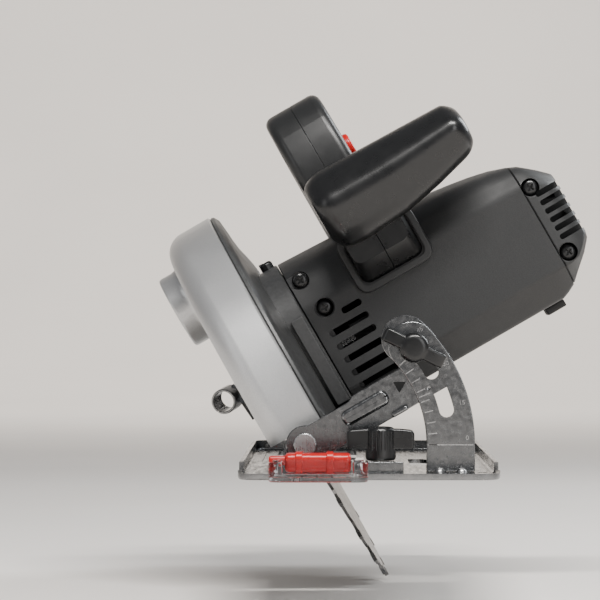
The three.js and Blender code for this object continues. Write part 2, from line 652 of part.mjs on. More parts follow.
function innerFlange() {
  return turnedX([
    [BLADE_OUT + GAP, SPINDLE_R.nose + GAP], [BLADE_OUT + GAP, FLANGE.collar],
    [BLADE_IN + GAP, FLANGE.collar], [BLADE_IN + GAP, FLANGE.inner],
    [BLADE_IN + GAP + FLANGE.thick, FLANGE.inner], [BLADE_IN + GAP + FLANGE.thick, SPINDLE_R.nose + GAP],
  ], SPINDLE.y, SPINDLE.v, 18);
}

function outerFlange() {
  return turnedX(sleeve(BLADE_OUT - GAP - FLANGE.thick, BLADE_OUT - GAP, FLANGE.bolt + GAP,
    FLANGE.outer), SPINDLE.y, SPINDLE.v, 18);
}

function bladeBolt() {
  const seat = BLADE_OUT - 2 * GAP - FLANGE.thick;
  const head = turnedX(bar(seat - 5, seat, 7.2), SPINDLE.y, SPINDLE.v, 6);
  const shank = turnedX(bar(seat - 1, seat + 18, FLANGE.bolt), SPINDLE.y, SPINDLE.v, 10);
  return join(head, shank);
}

// ---------------------------------------------------------------- gears and spindle
const SPINDLE_R = { nose: 6, seat: 7.5, gear: 7, rear: 6 };
const GEAR = { from: DOME + 1.2, to: CASE_END - 1.8 };
const PLATE_FROM = CASE_END + 2 * GAP;
const REAR_BEARING = { from: PLATE_FROM + 0.5, to: PLATE_FROM + 7, out: 11.4 };
const NOSE_FROM = 4.3;
const FRONT_BEARING = { from: 7.4, to: 15.8, out: 13 };
const PINION_BEARING = { out: 8.4 };
const SHAFT_R = 4;

function spindle() {
  return turnedX([
    [BLADE_OUT + GAP, FLANGE.bolt + GAP], [BLADE_OUT + GAP, SPINDLE_R.nose],
    [NOSE_FROM, SPINDLE_R.nose], [NOSE_FROM, SPINDLE_R.seat],
    [DOME + 0.3, SPINDLE_R.seat], [DOME + 0.3, SPINDLE_R.gear],
    [CASE_END - 0.5, SPINDLE_R.gear], [CASE_END - 0.5, SPINDLE_R.rear],
    [REAR_BEARING.to, SPINDLE_R.rear], [REAR_BEARING.to, 0],
    [15, 0], [15, FLANGE.bolt + GAP], [BLADE_OUT + GAP, FLANGE.bolt + GAP],
  ], SPINDLE.y, SPINDLE.v, 14);
}

/** A toothed outline about the origin: straight-sided teeth, the first centred on the x axis. */
function toothed(teeth) {
  const pitchRadius = MODULE * teeth / 2;
  const root = pitchRadius - 1.2 * MODULE;
  const tip = pitchRadius + 0.9 * MODULE;
  const pitch = 360 / teeth;
  const corners = [];
  for (let tooth = 0; tooth < teeth; tooth += 1) {
    const at = tooth * pitch;
    corners.push(polar([0, 0], root, at - 0.3 * pitch), polar([0, 0], tip, at - 0.12 * pitch),
      polar([0, 0], tip, at + 0.12 * pitch), polar([0, 0], root, at + 0.3 * pitch));
  }
  return outline(corners);
}

function drivenGear() {
  const wheel = alongX(toothed(GEAR_TEETH), GEAR.from, GEAR.to).rotateX(rad(MESH_ANGLE));
  const bore = turnedX(bar(GEAR.from - 1, GEAR.to + 1, SPINDLE_R.gear + GAP), 0, 0, 14);
  return cut(wheel, bore).translate(0, SPINDLE.y, SPINDLE.v);
}

const COMMUTATOR = { from: HOUSING_END - 30, to: HOUSING_END - 18, r: 11 };
const FAN = { from: PLATE_FROM + 15, to: PLATE_FROM + 27, r: 28 };
const ROTOR = { from: FAN.to + 7.1, to: HOUSING_END - 36, r: 17.6 };
const STATOR_R = 30.2;
const END_BEARING = { from: HOUSING_END - 5, to: HOUSING_END + 1, out: 9.5 };

function armatureShaft() {
  const shaft = turnedX(bar(CASE_END - 0.5, END_BEARING.to, SHAFT_R), MOTOR.y, MOTOR.v, 12);
  const pinion = alongX(toothed(PINION_TEETH), GEAR.from, CASE_END)
    .rotateX(rad(MESH_ANGLE + 180 + 180 / PINION_TEETH)).translate(0, MOTOR.y, MOTOR.v);
  return join(shaft, pinion);
}

function coolingFan() {
  const hub = turnedX(sleeve(FAN.from, FAN.to, SHAFT_R + GAP, 9), 0, 0, 14);
  const back = turnedX(sleeve(FAN.to - 2, FAN.to, SHAFT_R + GAP, FAN.r), 0, 0, 20);
  const vanes = Array.from({ length: 9 }, (_, i) => (
    block(FAN.from, FAN.to - 1, -0.9, 0.9, 8, FAN.r - 1).rotateX(rad(40 * i))));
  return join(hub, back, ...vanes).translate(0, MOTOR.y, MOTOR.v);
}

/** A ring on the motor axis. */
function motorRing(from, to, inner, outer, segments = 28) {
  return turnedX(sleeve(from, to, inner, outer), MOTOR.y, MOTOR.v, segments);
}

function brushHolder(side) {
  const near = COMMUTATOR.r + 1;
  const middle = (COMMUTATOR.from + COMMUTATOR.to) / 2;
  return block(middle - 4, middle + 4, -5, 5, near, near + 17)
    .rotateX(side > 0 ? 0 : Math.PI).translate(0, MOTOR.y, MOTOR.v);
}

// ---------------------------------------------------------------- gear case
const CASE_LOBES = [
  { y: SPINDLE.y - 25, v: SPINDLE.v + 30, r: 34.4 },
  { y: SPINDLE.y - 37, v: SPINDLE.v + 4, r: 22 },
  { y: SPINDLE.y, v: SPINDLE.v, r: MODULE * GEAR_TEETH / 2 + CASE_WALL + 1.5 },
];

/** The lobes joined edge to edge, carried along the spindle. */
function caseBody(h0, h1, wall) {
  const lobes = CASE_LOBES.map(({ y, v, r }) => turnedX(bar(h0, h1, r - wall), y, v, 18));
  const middle = alongX(outline([
    [CASE_LOBES[1].y, CASE_LOBES[1].v - CASE_LOBES[1].r + wall],
    [CASE_LOBES[2].y, CASE_LOBES[2].v - CASE_LOBES[2].r + wall],
    [CASE_LOBES[2].y + CASE_LOBES[2].r - wall, CASE_LOBES[2].v],
    [CASE_LOBES[0].y + CASE_LOBES[0].r - wall, CASE_LOBES[0].v],
    [CASE_LOBES[0].y - CASE_LOBES[0].r + wall, CASE_LOBES[0].v],
    [CASE_LOBES[1].y - CASE_LOBES[1].r + wall, CASE_LOBES[1].v],
  ]), h0, h1);
  return join(middle, ...lobes);
}

const LOCK = { y: SPINDLE.y - 25, h: 24, r: 3.2, top: 82 };
const CLAMP = polar([DEPTH_PIN.y, DEPTH_PIN.v], DEPTH_ARC.r, DEPTH_ARC.start);
const CLAMP_WEB = { from: 16, to: DEPTH_ARC.h - GAP - 0.4 };

function gearCase() {
  const skirt = 3;
  const dome = turnedX([
    [GUARD_IN + GAP, GUARD_R - 4.5], [GUARD_IN + GAP, GUARD_R - 0.8], [13, GUARD_R - 2],
    [15, GUARD_R - 12], [DOME, GUARD_R - 33], [DOME, 1], [DOME - skirt, 1],
    [DOME - skirt, GUARD_R - 35], [12.2, GUARD_R - 13],
  ], SPINDLE.y, SPINDLE.v, 40);
  const upper = block(GUARD_IN, DOME + 1, SPINDLE.y - GUARD_R, SPINDLE.y + GUARD_R,
    GUARD_EDGE_V, SPINDLE.v + GUARD_R);
  const nose = turnedX(bar(NOSE_FROM, DOME, NOSE_R), SPINDLE.y, SPINDLE.v, 20);
  const lobes = caseBody(DOME - skirt, CASE_END, 0);
  const lugV = { low: DEPTH_PIN.v - 5.6, high: 5 };
  const lug = block(17, 28, DEPTH_PIN.y, SPINDLE.y - 50, lugV.low, lugV.high);
  const barrel = turnedX(bar(DEPTH_EARS[0] + PLATE / 2 + GAP, DEPTH_EARS[1] - PLATE / 2 - GAP, 5.6),
    DEPTH_PIN.y, DEPTH_PIN.v, 12);
  const web = block(CLAMP_WEB.from, CLAMP_WEB.to, CLAMP[0] - 16, CLAMP[0], CLAMP[1] - 7, CLAMP[1] + 12);
  const boss = turnedX(bar(CLAMP_WEB.from, CLAMP_WEB.to, 7.5), ...CLAMP, 12);
  const body = join(clip(dome, upper), nose, lobes, lug, barrel, web, boss);
  const chamber = caseBody(DOME, CASE_END + 1, CASE_WALL);
  const spindleBore = turnedX([
    [NOSE_FROM - 1, 0], [NOSE_FROM - 1, SPINDLE_R.seat + 1], [FRONT_BEARING.from - GAP, SPINDLE_R.seat + 1],
    [FRONT_BEARING.from - GAP, FRONT_BEARING.out + GAP], [DOME + 1, FRONT_BEARING.out + GAP], [DOME + 1, 0],
  ], SPINDLE.y, SPINDLE.v, 18);
  const pinBore = turnedX(bar(0, 60, DEPTH_PIN.r + GAP), DEPTH_PIN.y, DEPTH_PIN.v, 10);
  const clampBore = turnedX(bar(0, 30, BOLT_R + GAP), ...CLAMP, 10);
  const lockBore = turnedZ(bar(SPINDLE.v + 55, LOCK.top + 5, LOCK.r + GAP), LOCK.h, LOCK.y, 10);
  return cut(body, chamber, spindleBore, pinBore, clampBore, lockBore);
}

function bearingPlate() {
  const plate = alongX(rectangle(HOUSING.y0 + 4, HOUSING.v0 + 3.4, HOUSING.y1 - 4, HOUSING_TOP.gear - 8,
    HOUSING.round - 3), PLATE_FROM, PLATE_FROM + 7.5, 3);
  const spindlePocket = turnedX(bar(0, 60, REAR_BEARING.out + GAP), SPINDLE.y, SPINDLE.v, 14);
  const shaftPocket = turnedX(bar(0, 60, PINION_BEARING.out + GAP), MOTOR.y, MOTOR.v, 14);
  return cut(plate, spindlePocket, shaftPocket);
}

function arcClampBolt() {
  const head = turnedX(bar(CLAMP_WEB.from - GAP - 2.8, CLAMP_WEB.from - GAP, 5.6), ...CLAMP, 10);
  const shank = turnedX(bar(CLAMP_WEB.from - 1, 32, BOLT_R), ...CLAMP, 10);
  return join(head, shank);
}

function depthLever() {
  const from = DEPTH_ARC.h + PLATE + GAP;
  const hub = turnedX(bar(from, 31.5, 8), ...CLAMP, 14);
  const arm = alongX(outline([
    [CLAMP[0], CLAMP[1] - 7], [CLAMP[0] + 44, CLAMP[1] + 4, 3], [CLAMP[0] + 44, CLAMP[1] + 13, 3],
    [CLAMP[0], CLAMP[1] + 7],
  ]), 25, 31.5, 3);
  return cut(join(hub, arm), turnedX(bar(0, 40, BOLT_R + GAP), ...CLAMP, 10));
}

// ---------------------------------------------------------------- motor housing
/** Height of the housing's top, which falls from the gear case towards the end cap. */
function topAt(h) {
  const { gear, crest, cap, crestShare } = HOUSING_TOP;
  const share = (h - CASE_END) / (HOUSING_END - CASE_END);
  return share < crestShare
    ? THREE.MathUtils.lerp(gear, crest, share / crestShare)
    : THREE.MathUtils.lerp(crest, cap, (share - crestShare) / (1 - crestShare));
}

function housingSkin(h0, h1, wall) {
  const { y0, y1, v0, round } = HOUSING;
  const ring = (h, top) => sectionRing(h, y0 + wall, y1 - wall, v0 + wall, top - wall, round - wall);
  const crest = THREE.MathUtils.lerp(CASE_END, HOUSING_END, HOUSING_TOP.crestShare);
  return skin([ring(h0, topAt(h0)), ring(crest, HOUSING_TOP.crest), ring(h1, topAt(h1))]);
}

const FRONT_SCREWS = [[34.6, 66], [38.2, 49.2]];
const REAR_SCREWS = [[HOUSING_END + 4.3, 49.8], [HOUSING_END + 4.8, 14.5]];
const SCREW_R = 3.9;
const VENT_V = [36.6, 29.5, 22.4, 15.8, 8.6];

/** Slots with round ends through a wall that faces the front. */
function slotsAcross(places, h0, h1, wide, y0, y1) {
  return places.map((v) => alongY(
    rectangle(h0, v - wide / 2, h1, v + wide / 2, wide / 2), y0, y1, 1));
}

function screwWell([h, v]) {
  return turnedY(bar(HOUSING.y0 - 1, HOUSING.y0 + HOUSING_WALL + 20, SCREW_R + GAP), h, v, 10);
}

function caseScrew([h, v]) {
  return turnedY([
    [HOUSING.y0 + 0.6, 0], [HOUSING.y0 + 0.6, SCREW_R - 0.8], [HOUSING.y0 + 1.4, SCREW_R],
    [HOUSING.y0 + 3.4, SCREW_R], [HOUSING.y0 + 3.4, 0],
  ], h, v, 10);
}

const NECK = { h0: 57, h1: 95, y0: MOTOR.y - 38.4, y1: MOTOR.y - 10, v0: 45, v1: 71 };

function motorHousing() {
  const from = CASE_END + GAP;
  const shell = cut(housingSkin(from, HOUSING_END, 0),
    housingSkin(from - 1, HOUSING_END + 1, HOUSING_WALL));
  const rim = block(NECK.h0, NECK.h1, NECK.y0 + 1, HOUSING.y0 + 1, NECK.v0 + 4, NECK.v1 - 6);
  const vents = slotsAcross(VENT_V, 34, 54.8, 3, HOUSING.y0 - 2, HOUSING.y0 + 5);
  const short = slotsAcross([43.4], 44.4, 54.8, 3, HOUSING.y0 - 2, HOUSING.y0 + 5);
  const rearVents = slotsAcross(VENT_V, ROTOR.from + 3, ROTOR.from + 24, 3, HOUSING.y1 - 5, HOUSING.y1 + 2);
  return cut(join(shell, rim), ...vents, ...short, ...rearVents, ...FRONT_SCREWS.map(screwWell));
}

const CAP_FINS = [43, 38, 33, 28, 23];

function endCap() {
  const from = HOUSING_END + GAP;
  const { y0, y1, v0, round } = HOUSING;
  const ring = (h, draw, rise, fall, wall) => sectionRing(h, y0 + draw + wall, y1 - draw - wall,
    v0 + rise + wall, HOUSING_TOP.cap - fall - wall, round - wall * 0.5);
  const outside = skin([ring(from, 0, 3, 0.5, 0), ring(from + 8, 0.8, 9, 4.5, 0),
    ring(CAP_END - 3, 5, 14, 9, 0), ring(CAP_END, 9, 18, 13, 0)]);
  const inside = skin([ring(from + 2.5, 0, 4.5, 1.5, HOUSING_WALL), ring(from + 8, 0.8, 9, 4.5, HOUSING_WALL),
    ring(CAP_END - HOUSING_WALL - 1, 6, 14, 9, HOUSING_WALL)]);
  const fins = slotsAcross(CAP_FINS, HOUSING_END + 6, CAP_END + 1, 2.4, y0 - 2, y0 + 16);
  const rearFins = slotsAcross(CAP_FINS, HOUSING_END + 6, CAP_END + 1, 2.4, y1 - 16, y1 + 2);
  const bearingBore = turnedX(bar(from - 1, from + 4, END_BEARING.out + GAP), MOTOR.y, MOTOR.v, 14);
  const shaftVents = [0, 90, 180, 270].map((turn) => turnedX(bar(from - 1, from + 4, 6),
    MOTOR.y + 20 * Math.cos(rad(turn)), MOTOR.v + 20 * Math.sin(rad(turn)), 12));
  return cut(outside, inside, ...fins, ...rearFins, bearingBore, ...shaftVents,
    ...REAR_SCREWS.map(screwWell));
}

function restFoot() {
  const base = HOUSING.v0 - GAP;
  return alongX(outline([
    [MOTOR.y - 10, base - 3.6, 1], [MOTOR.y + 10, base - 3.6, 1], [MOTOR.y + 10, base],
    [MOTOR.y - 10, base],
  ]), HOUSING_END - 17.1, HOUSING_END - 7.1, 2);
}

// ---------------------------------------------------------------- handles
const HANDLE_TOP = 142;
const REAR = HOUSING.y1;
const HANDLE_OUTLINE = [
  [REAR + 1, 8, 4], [REAR + 71, 16, 14], [REAR + 85, 44, 14], [REAR + 80, 78, 20],
  [REAR + 58, 116, 24], [REAR - 4, HANDLE_TOP, 18], [REAR - 38, HANDLE_TOP, 12],
  [REAR - 52, 116, 14], [REAR - 52, 77.5, 2], [REAR - 20, 77.5, 2], [REAR - 14, 100, 12],
  [REAR - 2, 108, 12], [REAR + 38, 90, 14], [REAR + 54, 64, 12], [REAR + 50, 44, 12],
  [REAR + 30, 36, 8], [REAR + 1, 34, 2],
];
const BUTTON = { y: REAR - 22, v: 111.4, r: 6, proud: 3 };
const GLAND = { y: REAR + 79, v: 28, r: 6.5 };
const TRIGGER = { y0: REAR - 1, y1: REAR + 22, v0: 92, v1: 112, pivot: REAR - 2 };

function handleHalf(from, to, outside) {
  const { wall } = HANDLE;
  const cavity = outside < 0 ? [from + wall, to + 1] : [from - 1, to - wall];
  const shell = cut(alongX(outline(HANDLE_OUTLINE), from, to, 4),
    alongX(outline(inset(HANDLE_OUTLINE, wall)), ...cavity, 4));
  const mouth = block(middleOf(HANDLE) - 8, middleOf(HANDLE) + 8, TRIGGER.y0 - 1, TRIGGER.y1 + 4,
    TRIGGER.v0 - 4, TRIGGER.v1 + 2);
  const gland = turnedY(bar(GLAND.y - 14, GLAND.y + 6, GLAND.r + GAP), middleOf(HANDLE), GLAND.v, 10);
  const button = turnedX(bar(HANDLE.h1 - 10, HANDLE.h1 + 1, BUTTON.r + GAP), BUTTON.y, BUTTON.v, 12);
  return cut(shell, mouth, gland, button);
}

function middleOf({ h0, h1 }) {
  return (h0 + h1) / 2;
}

function trigger() {
  const middle = middleOf(HANDLE);
  return alongX(outline([
    [TRIGGER.y0, TRIGGER.v0 + 4, 3], [TRIGGER.y0 + 8, TRIGGER.v0 + 4, 4],
    [TRIGGER.y1, TRIGGER.v0, 4], [TRIGGER.y1, TRIGGER.v1 - 6, 2], [TRIGGER.y0, TRIGGER.v1, 3],
  ]), middle - 7, middle + 7, 3);
}

function switchBody() {
  const middle = middleOf(HANDLE);
  return block(middle - 9, middle + 9, TRIGGER.y0 - 2, TRIGGER.y1 - 3, TRIGGER.v1 + 3, TRIGGER.v1 + 14);
}

function cordGland() {
  return turnedY(sleeve(GLAND.y - 6, GLAND.y + 5, 3.6, GLAND.r), middleOf(HANDLE), GLAND.v, 10);
}

function lockOffButton() {
  return turnedX([
    [HANDLE.h1 - 8, 0], [HANDLE.h1 - 8, BUTTON.r], [HANDLE.h1 + BUTTON.proud - 1, BUTTON.r],
    [HANDLE.h1 + BUTTON.proud, BUTTON.r - 1], [HANDLE.h1 + BUTTON.proud, 0],
  ], BUTTON.y, BUTTON.v, 12);
}

const AUX = { h0: 58.4, h1: 136, y0: MOTOR.y - 76, y1: MOTOR.y - 37, top: 105, under: 66.8 };

function auxHandle() {
  const ring = (h, grow, low) => sectionRing(h, AUX.y0 + grow, AUX.y1 - grow, low + grow * 0.5,
    AUX.top - grow * 0.5, 10);
  const grip = skin([
    ring(AUX.h0, 7, AUX.under + 7), ring(AUX.h0 + 4, 3, AUX.under + 2), ring(AUX.h0 + 12, 0, AUX.under),
    ring(AUX.h0 + 37, 0, AUX.under + 1), ring(AUX.h1 - 8, 1, AUX.under + 9),
    ring(AUX.h1 - 2, 4, AUX.under + 11), ring(AUX.h1, 7, AUX.under + 12),
  ]);
  const neckRing = (y, h0, h1, v0, v1) => rectangle(h0, v0, h1, v1, 5).getPoints(2).slice(0, -1)
    .map((p) => new THREE.Vector3(p.x, y, p.y));
  const neck = skin([
    neckRing(NECK.y0 + GAP - 0.6, NECK.h0 + 3, NECK.h1 - 3, NECK.v0 + 7, NECK.v1 - 1),
    neckRing(AUX.y1 - 14, NECK.h0 + 4, NECK.h1 - 5, 62, 88),
  ]);
  return join(grip, neck);
}

// ---------------------------------------------------------------- assembly
const base = new THREE.Group();
const head = new THREE.Group();
head.position.set(PIVOT.x, 0, PIVOT.z);
head.rotation.y = -rad(BEVEL);

function add(group, name, geometry, material) {
  const mesh = new THREE.Mesh(welded(geometry), material.clone());
  mesh.name = name;
  mesh.geometry.computeVertexNormals();
  group.add(mesh);
}

add(base, 'base_plate', basePlate(), ZINC);
add(base, 'bevel_quadrant', bevelQuadrant(), ZINC);
RIVETS.forEach((place, i) => add(base, `quadrant_rivet_${i + 1}`, rivet(place), STEEL));
add(base, 'front_pivot_ear', pivotEar(EAR_FRONT, EAR_BACK, EAR_FRONT, EAR_BACK + 11), ZINC);
add(base, 'rear_pivot_ear', pivotEar(REAR_PLATE + PLATE + GAP, REAR_PLATE + 2 * PLATE + GAP,
  REAR_PLATE + PLATE + GAP, REAR_PLATE + PLATE + GAP + 6), ZINC);
add(base, 'front_pivot_pin', turnedY(headedPin(BRACKET_FRONT - 2.2, EAR_BACK + 2.2, BRACKET_FRONT,
  EAR_BACK, PIVOT_PIN_R), PIVOT.x, PIVOT.z, 12), STEEL);
add(base, 'rear_pivot_pin', turnedY(headedPin(REAR_PLATE - 2.2, REAR_PLATE + 2 * PLATE + GAP + 2.2,
  REAR_PLATE, REAR_PLATE + 2 * PLATE + GAP, PIVOT_PIN_R), PIVOT.x, PIVOT.z, 12), STEEL);
add(base, 'fence_bridge', fenceBridge(), ZINC);
add(base, 'fence_knob', fenceKnob(), SATIN_BLACK);
add(base, 'sight_window', sightWindow(), CLEAR);
add(base, 'sight_clip', sightClip(), RED);
add(base, 'bevel_bolt', bevelBolt(), STEEL);
add(base, 'bevel_knob', bevelKnob(), SATIN_BLACK);

add(head, 'tilt_bracket', tiltBracket(), ZINC);
add(head, 'depth_arc', depthArc(), ZINC);
add(head, 'depth_hinge_pin', depthHingePin(), STEEL);
add(head, 'blade_guard', bladeGuard(), SILVER);
add(head, 'lower_guard', lowerGuard(), ZINC);
add(head, 'guard_lever', guardLever(), ZINC);
add(head, 'saw_blade', sawBlade(), BLADE_STEEL);
add(head, 'inner_flange', innerFlange(), STEEL);
add(head, 'outer_flange', outerFlange(), STEEL);
add(head, 'blade_bolt', bladeBolt(), STEEL);
add(head, 'spindle', spindle(), STEEL);
add(head, 'driven_gear', drivenGear(), STEEL);
add(head, 'armature_shaft', armatureShaft(), STEEL);
add(head, 'rotor_core', motorRing(ROTOR.from, ROTOR.to, SHAFT_R + GAP, ROTOR.r), LAMINATION);
add(head, 'commutator', motorRing(COMMUTATOR.from, COMMUTATOR.to, SHAFT_R + GAP, COMMUTATOR.r), COPPER);
add(head, 'cooling_fan', coolingFan(), HANDLE_PLASTIC);
add(head, 'stator', motorRing(ROTOR.from - 2, ROTOR.to + 2, ROTOR.r + 1, STATOR_R, 32), LAMINATION);
add(head, 'brush_holder_upper', brushHolder(1), COPPER);
add(head, 'brush_holder_lower', brushHolder(-1), COPPER);
add(head, 'spindle_front_bearing', turnedX(sleeve(FRONT_BEARING.from, FRONT_BEARING.to,
  SPINDLE_R.seat + GAP, FRONT_BEARING.out), SPINDLE.y, SPINDLE.v, 14), STEEL);
add(head, 'spindle_rear_bearing', turnedX(sleeve(REAR_BEARING.from, REAR_BEARING.to,
  SPINDLE_R.rear + GAP, REAR_BEARING.out), SPINDLE.y, SPINDLE.v, 14), STEEL);
add(head, 'pinion_bearing', motorRing(REAR_BEARING.from, REAR_BEARING.to, SHAFT_R + GAP,
  PINION_BEARING.out, 14), STEEL);
add(head, 'motor_end_bearing', motorRing(END_BEARING.from, END_BEARING.to, SHAFT_R + GAP,
  END_BEARING.out, 14), STEEL);
add(head, 'retaining_ring', turnedX(sleeve(NOSE_FROM + 0.1, NOSE_FROM + 1, NOSE_R + GAP, NOSE_R + 3),
  SPINDLE.y, SPINDLE.v, 18), STEEL);
add(head, 'gear_case', gearCase(), BLACK_CAST);
add(head, 'bearing_plate', bearingPlate(), BLACK_CAST);
add(head, 'arc_clamp_bolt', arcClampBolt(), STEEL);
add(head, 'depth_lever', depthLever(), SATIN_BLACK);
add(head, 'motor_housing', motorHousing(), HOUSING_PLASTIC);
add(head, 'end_cap', endCap(), HOUSING_PLASTIC);
add(head, 'rest_foot', restFoot(), RUBBER);
FRONT_SCREWS.forEach((place, i) => add(head, `front_screw_${i + 1}`, caseScrew(place), SATIN_BLACK));
REAR_SCREWS.forEach((place, i) => add(head, `rear_screw_${i + 1}`, caseScrew(place), SATIN_BLACK));
const split = middleOf(HANDLE);
add(head, 'handle_left', handleHalf(HANDLE.h0, split - GAP / 2, -1), HANDLE_PLASTIC);
add(head, 'handle_right', handleHalf(split + GAP / 2, HANDLE.h1, 1), HANDLE_PLASTIC);
add(head, 'trigger', trigger(), SATIN_BLACK);
add(head, 'switch_body', switchBody(), SATIN_BLACK);
add(head, 'cord_gland', cordGland(), RUBBER);
add(head, 'lock_off_button', lockOffButton(), RED);
add(head, 'spindle_lock_button', turnedZ([[SPINDLE.v + 58, 0], [SPINDLE.v + 58, LOCK.r],
  [LOCK.top - 1, LOCK.r], [LOCK.top, LOCK.r - 1], [LOCK.top, 0]], LOCK.h, LOCK.y, 10), SATIN_BLACK);
add(head, 'aux_handle', auxHandle(), SATIN_BLACK);

const saw = new THREE.Group();
saw.name = 'circular_saw';
saw.add(base, head);

export default saw;
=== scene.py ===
"""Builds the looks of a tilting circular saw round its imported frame."""

import json
import logging
import math
from dataclasses import dataclass, field
from enum import Enum
from typing import Callable, Iterable, Sequence

import bmesh
import bpy
from mathutils import Matrix, Vector


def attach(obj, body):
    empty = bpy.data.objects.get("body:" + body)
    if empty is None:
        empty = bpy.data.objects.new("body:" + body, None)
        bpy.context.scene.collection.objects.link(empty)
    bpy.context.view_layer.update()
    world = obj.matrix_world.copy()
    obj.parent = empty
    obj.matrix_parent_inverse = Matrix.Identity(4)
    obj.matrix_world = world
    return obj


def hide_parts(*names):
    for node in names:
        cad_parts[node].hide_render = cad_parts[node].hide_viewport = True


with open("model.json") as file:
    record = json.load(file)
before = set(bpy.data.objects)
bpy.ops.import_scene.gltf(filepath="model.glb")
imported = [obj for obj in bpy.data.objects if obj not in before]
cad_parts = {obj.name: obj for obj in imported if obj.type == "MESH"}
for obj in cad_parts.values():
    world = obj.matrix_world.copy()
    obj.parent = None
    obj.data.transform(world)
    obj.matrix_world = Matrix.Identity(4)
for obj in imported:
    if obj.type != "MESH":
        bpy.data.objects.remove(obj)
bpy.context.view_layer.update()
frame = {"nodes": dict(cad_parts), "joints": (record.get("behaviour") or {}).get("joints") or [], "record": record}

logging.basicConfig(level=logging.INFO, format="%(message)s")
log = logging.getLogger("saw")

MM = 0.001
Point = tuple[float, float]
Corner = tuple[float, float, float]


# ---------------------------------------------------------------- node graphs
class Graph:
    """A node material under construction."""

    def __init__(self, name: str) -> None:
        """Starts a material that holds one principled shader.

        Args:
            name: the material's name.
        """
        self.material = bpy.data.materials.new(name)
        self.material.use_nodes = True
        self.tree = self.material.node_tree
        self.shader = self.tree.nodes["Principled BSDF"]
        self.place = self.node("ShaderNodeTexCoord").outputs["Object"]

    def node(self, kind: str, **settings: object) -> bpy.types.Node:
        """Adds a node.

        Args:
            kind: the node's type.
            settings: node properties, and inputs by name.

        Returns:
            The new node.
        """
        made = self.tree.nodes.new(kind)
        for key, value in settings.items():
            if key in made.inputs:
                made.inputs[key].default_value = value
            elif key.replace("_", " ").title() in made.inputs:
                made.inputs[key.replace("_", " ").title()].default_value = value
            else:
                setattr(made, key, value)
        return made

    def link(self, source: bpy.types.NodeSocket, target: bpy.types.NodeSocket) -> None:
        """Joins two sockets."""
        self.tree.links.new(source, target)

    def constant(self, **values: object) -> None:
        """Sets plain values on the shader, by socket name with underscores for spaces."""
        for key, value in values.items():
            self.shader.inputs[key.replace("_", " ")].default_value = value

    def noise(self, scale: float, detail: float = 3.0, rough: float = 0.5,
              stretch: Sequence[float] | None = None) -> bpy.types.NodeSocket:
        """Adds noise on object coordinates.

        Args:
            scale: the pattern's scale, per metre.
            detail: octaves of finer noise.
            rough: strength of the finer octaves.
            stretch: scale of each axis, for a drawn-out grain.

        Returns:
            The noise value's socket.
        """
        place = self.place
        if stretch is not None:
            mapping = self.node("ShaderNodeMapping", Scale=tuple(stretch))
            self.link(place, mapping.inputs["Vector"])
            place = mapping.outputs["Vector"]
        noise = self.node("ShaderNodeTexNoise", Scale=scale, Detail=detail, Roughness=rough)
        self.link(place, noise.inputs["Vector"])
        return noise.outputs["Fac"]

    def spread(self, source: bpy.types.NodeSocket, low: float, high: float,
               start: float = 0.3, end: float = 0.7) -> bpy.types.NodeSocket:
        """Maps a 0 to 1 pattern onto a range of values."""
        ranged = self.node("ShaderNodeMapRange")
        ranged.inputs["From Min"].default_value = start
        ranged.inputs["From Max"].default_value = end
        ranged.inputs["To Min"].default_value = low
        ranged.inputs["To Max"].default_value = high
        self.link(source, ranged.inputs["Value"])
        return ranged.outputs["Result"]

    def blend(self, source: bpy.types.NodeSocket, dark: Sequence[float],
              light: Sequence[float], start: float = 0.3, end: float = 0.7) -> None:
        """Colours the surface between two tones by a pattern."""
        ramp = self.node("ShaderNodeValToRGB")
        ramp.color_ramp.elements[0].position = start
        ramp.color_ramp.elements[0].color = (*dark, 1.0)
        ramp.color_ramp.elements[1].position = end
        ramp.color_ramp.elements[1].color = (*light, 1.0)
        self.link(source, ramp.inputs["Fac"])
        self.link(ramp.outputs["Color"], self.shader.inputs["Base Color"])

    def bump(self, layers: Iterable[tuple[bpy.types.NodeSocket, float, float]]) -> None:
        """Stacks bump layers.

        Args:
            layers: (height socket, strength, distance in metres) of each layer.
        """
        normal = None
        for height, strength, distance in layers:
            made = self.node("ShaderNodeBump", Strength=strength, Distance=distance)
            self.link(height, made.inputs["Height"])
            if normal is not None:
                self.link(normal, made.inputs["Normal"])
            normal = made.outputs["Normal"]
        self.link(normal, self.shader.inputs["Normal"])


def tone(level: float, warm: float = 0.0) -> tuple[float, float, float]:
    """A grey of a level, a little warm or, where warm is negative, cool."""
    return (level * (1 + warm), level, level * (1 - warm))


# ---------------------------------------------------------------- finishes
@dataclass(frozen=True)
class SilverPaint:
    """Satin silver lacquer with a fine metallic flake and faint flow marks."""

    name: str = "silver_lacquer"
    level: float = 0.56
    flake: float = 5200.0

    def build(self) -> bpy.types.Material:
        """Makes the material."""
        graph = Graph(self.name)
        flake = graph.noise(self.flake, 1.0)
        cloud = graph.noise(26.0, 4.0)
        graph.blend(flake, tone(self.level * 0.86, -0.01), tone(self.level * 1.12), 0.35, 0.65)
        graph.link(graph.spread(cloud, 0.33, 0.45), graph.shader.inputs["Roughness"])
        graph.constant(Metallic=0.8, Coat_Weight=0.2, Coat_Roughness=0.25)
        graph.bump([(graph.noise(900.0, 2.0), 0.10, 0.00012), (flake, 0.06, 0.00004)])
        return graph.material


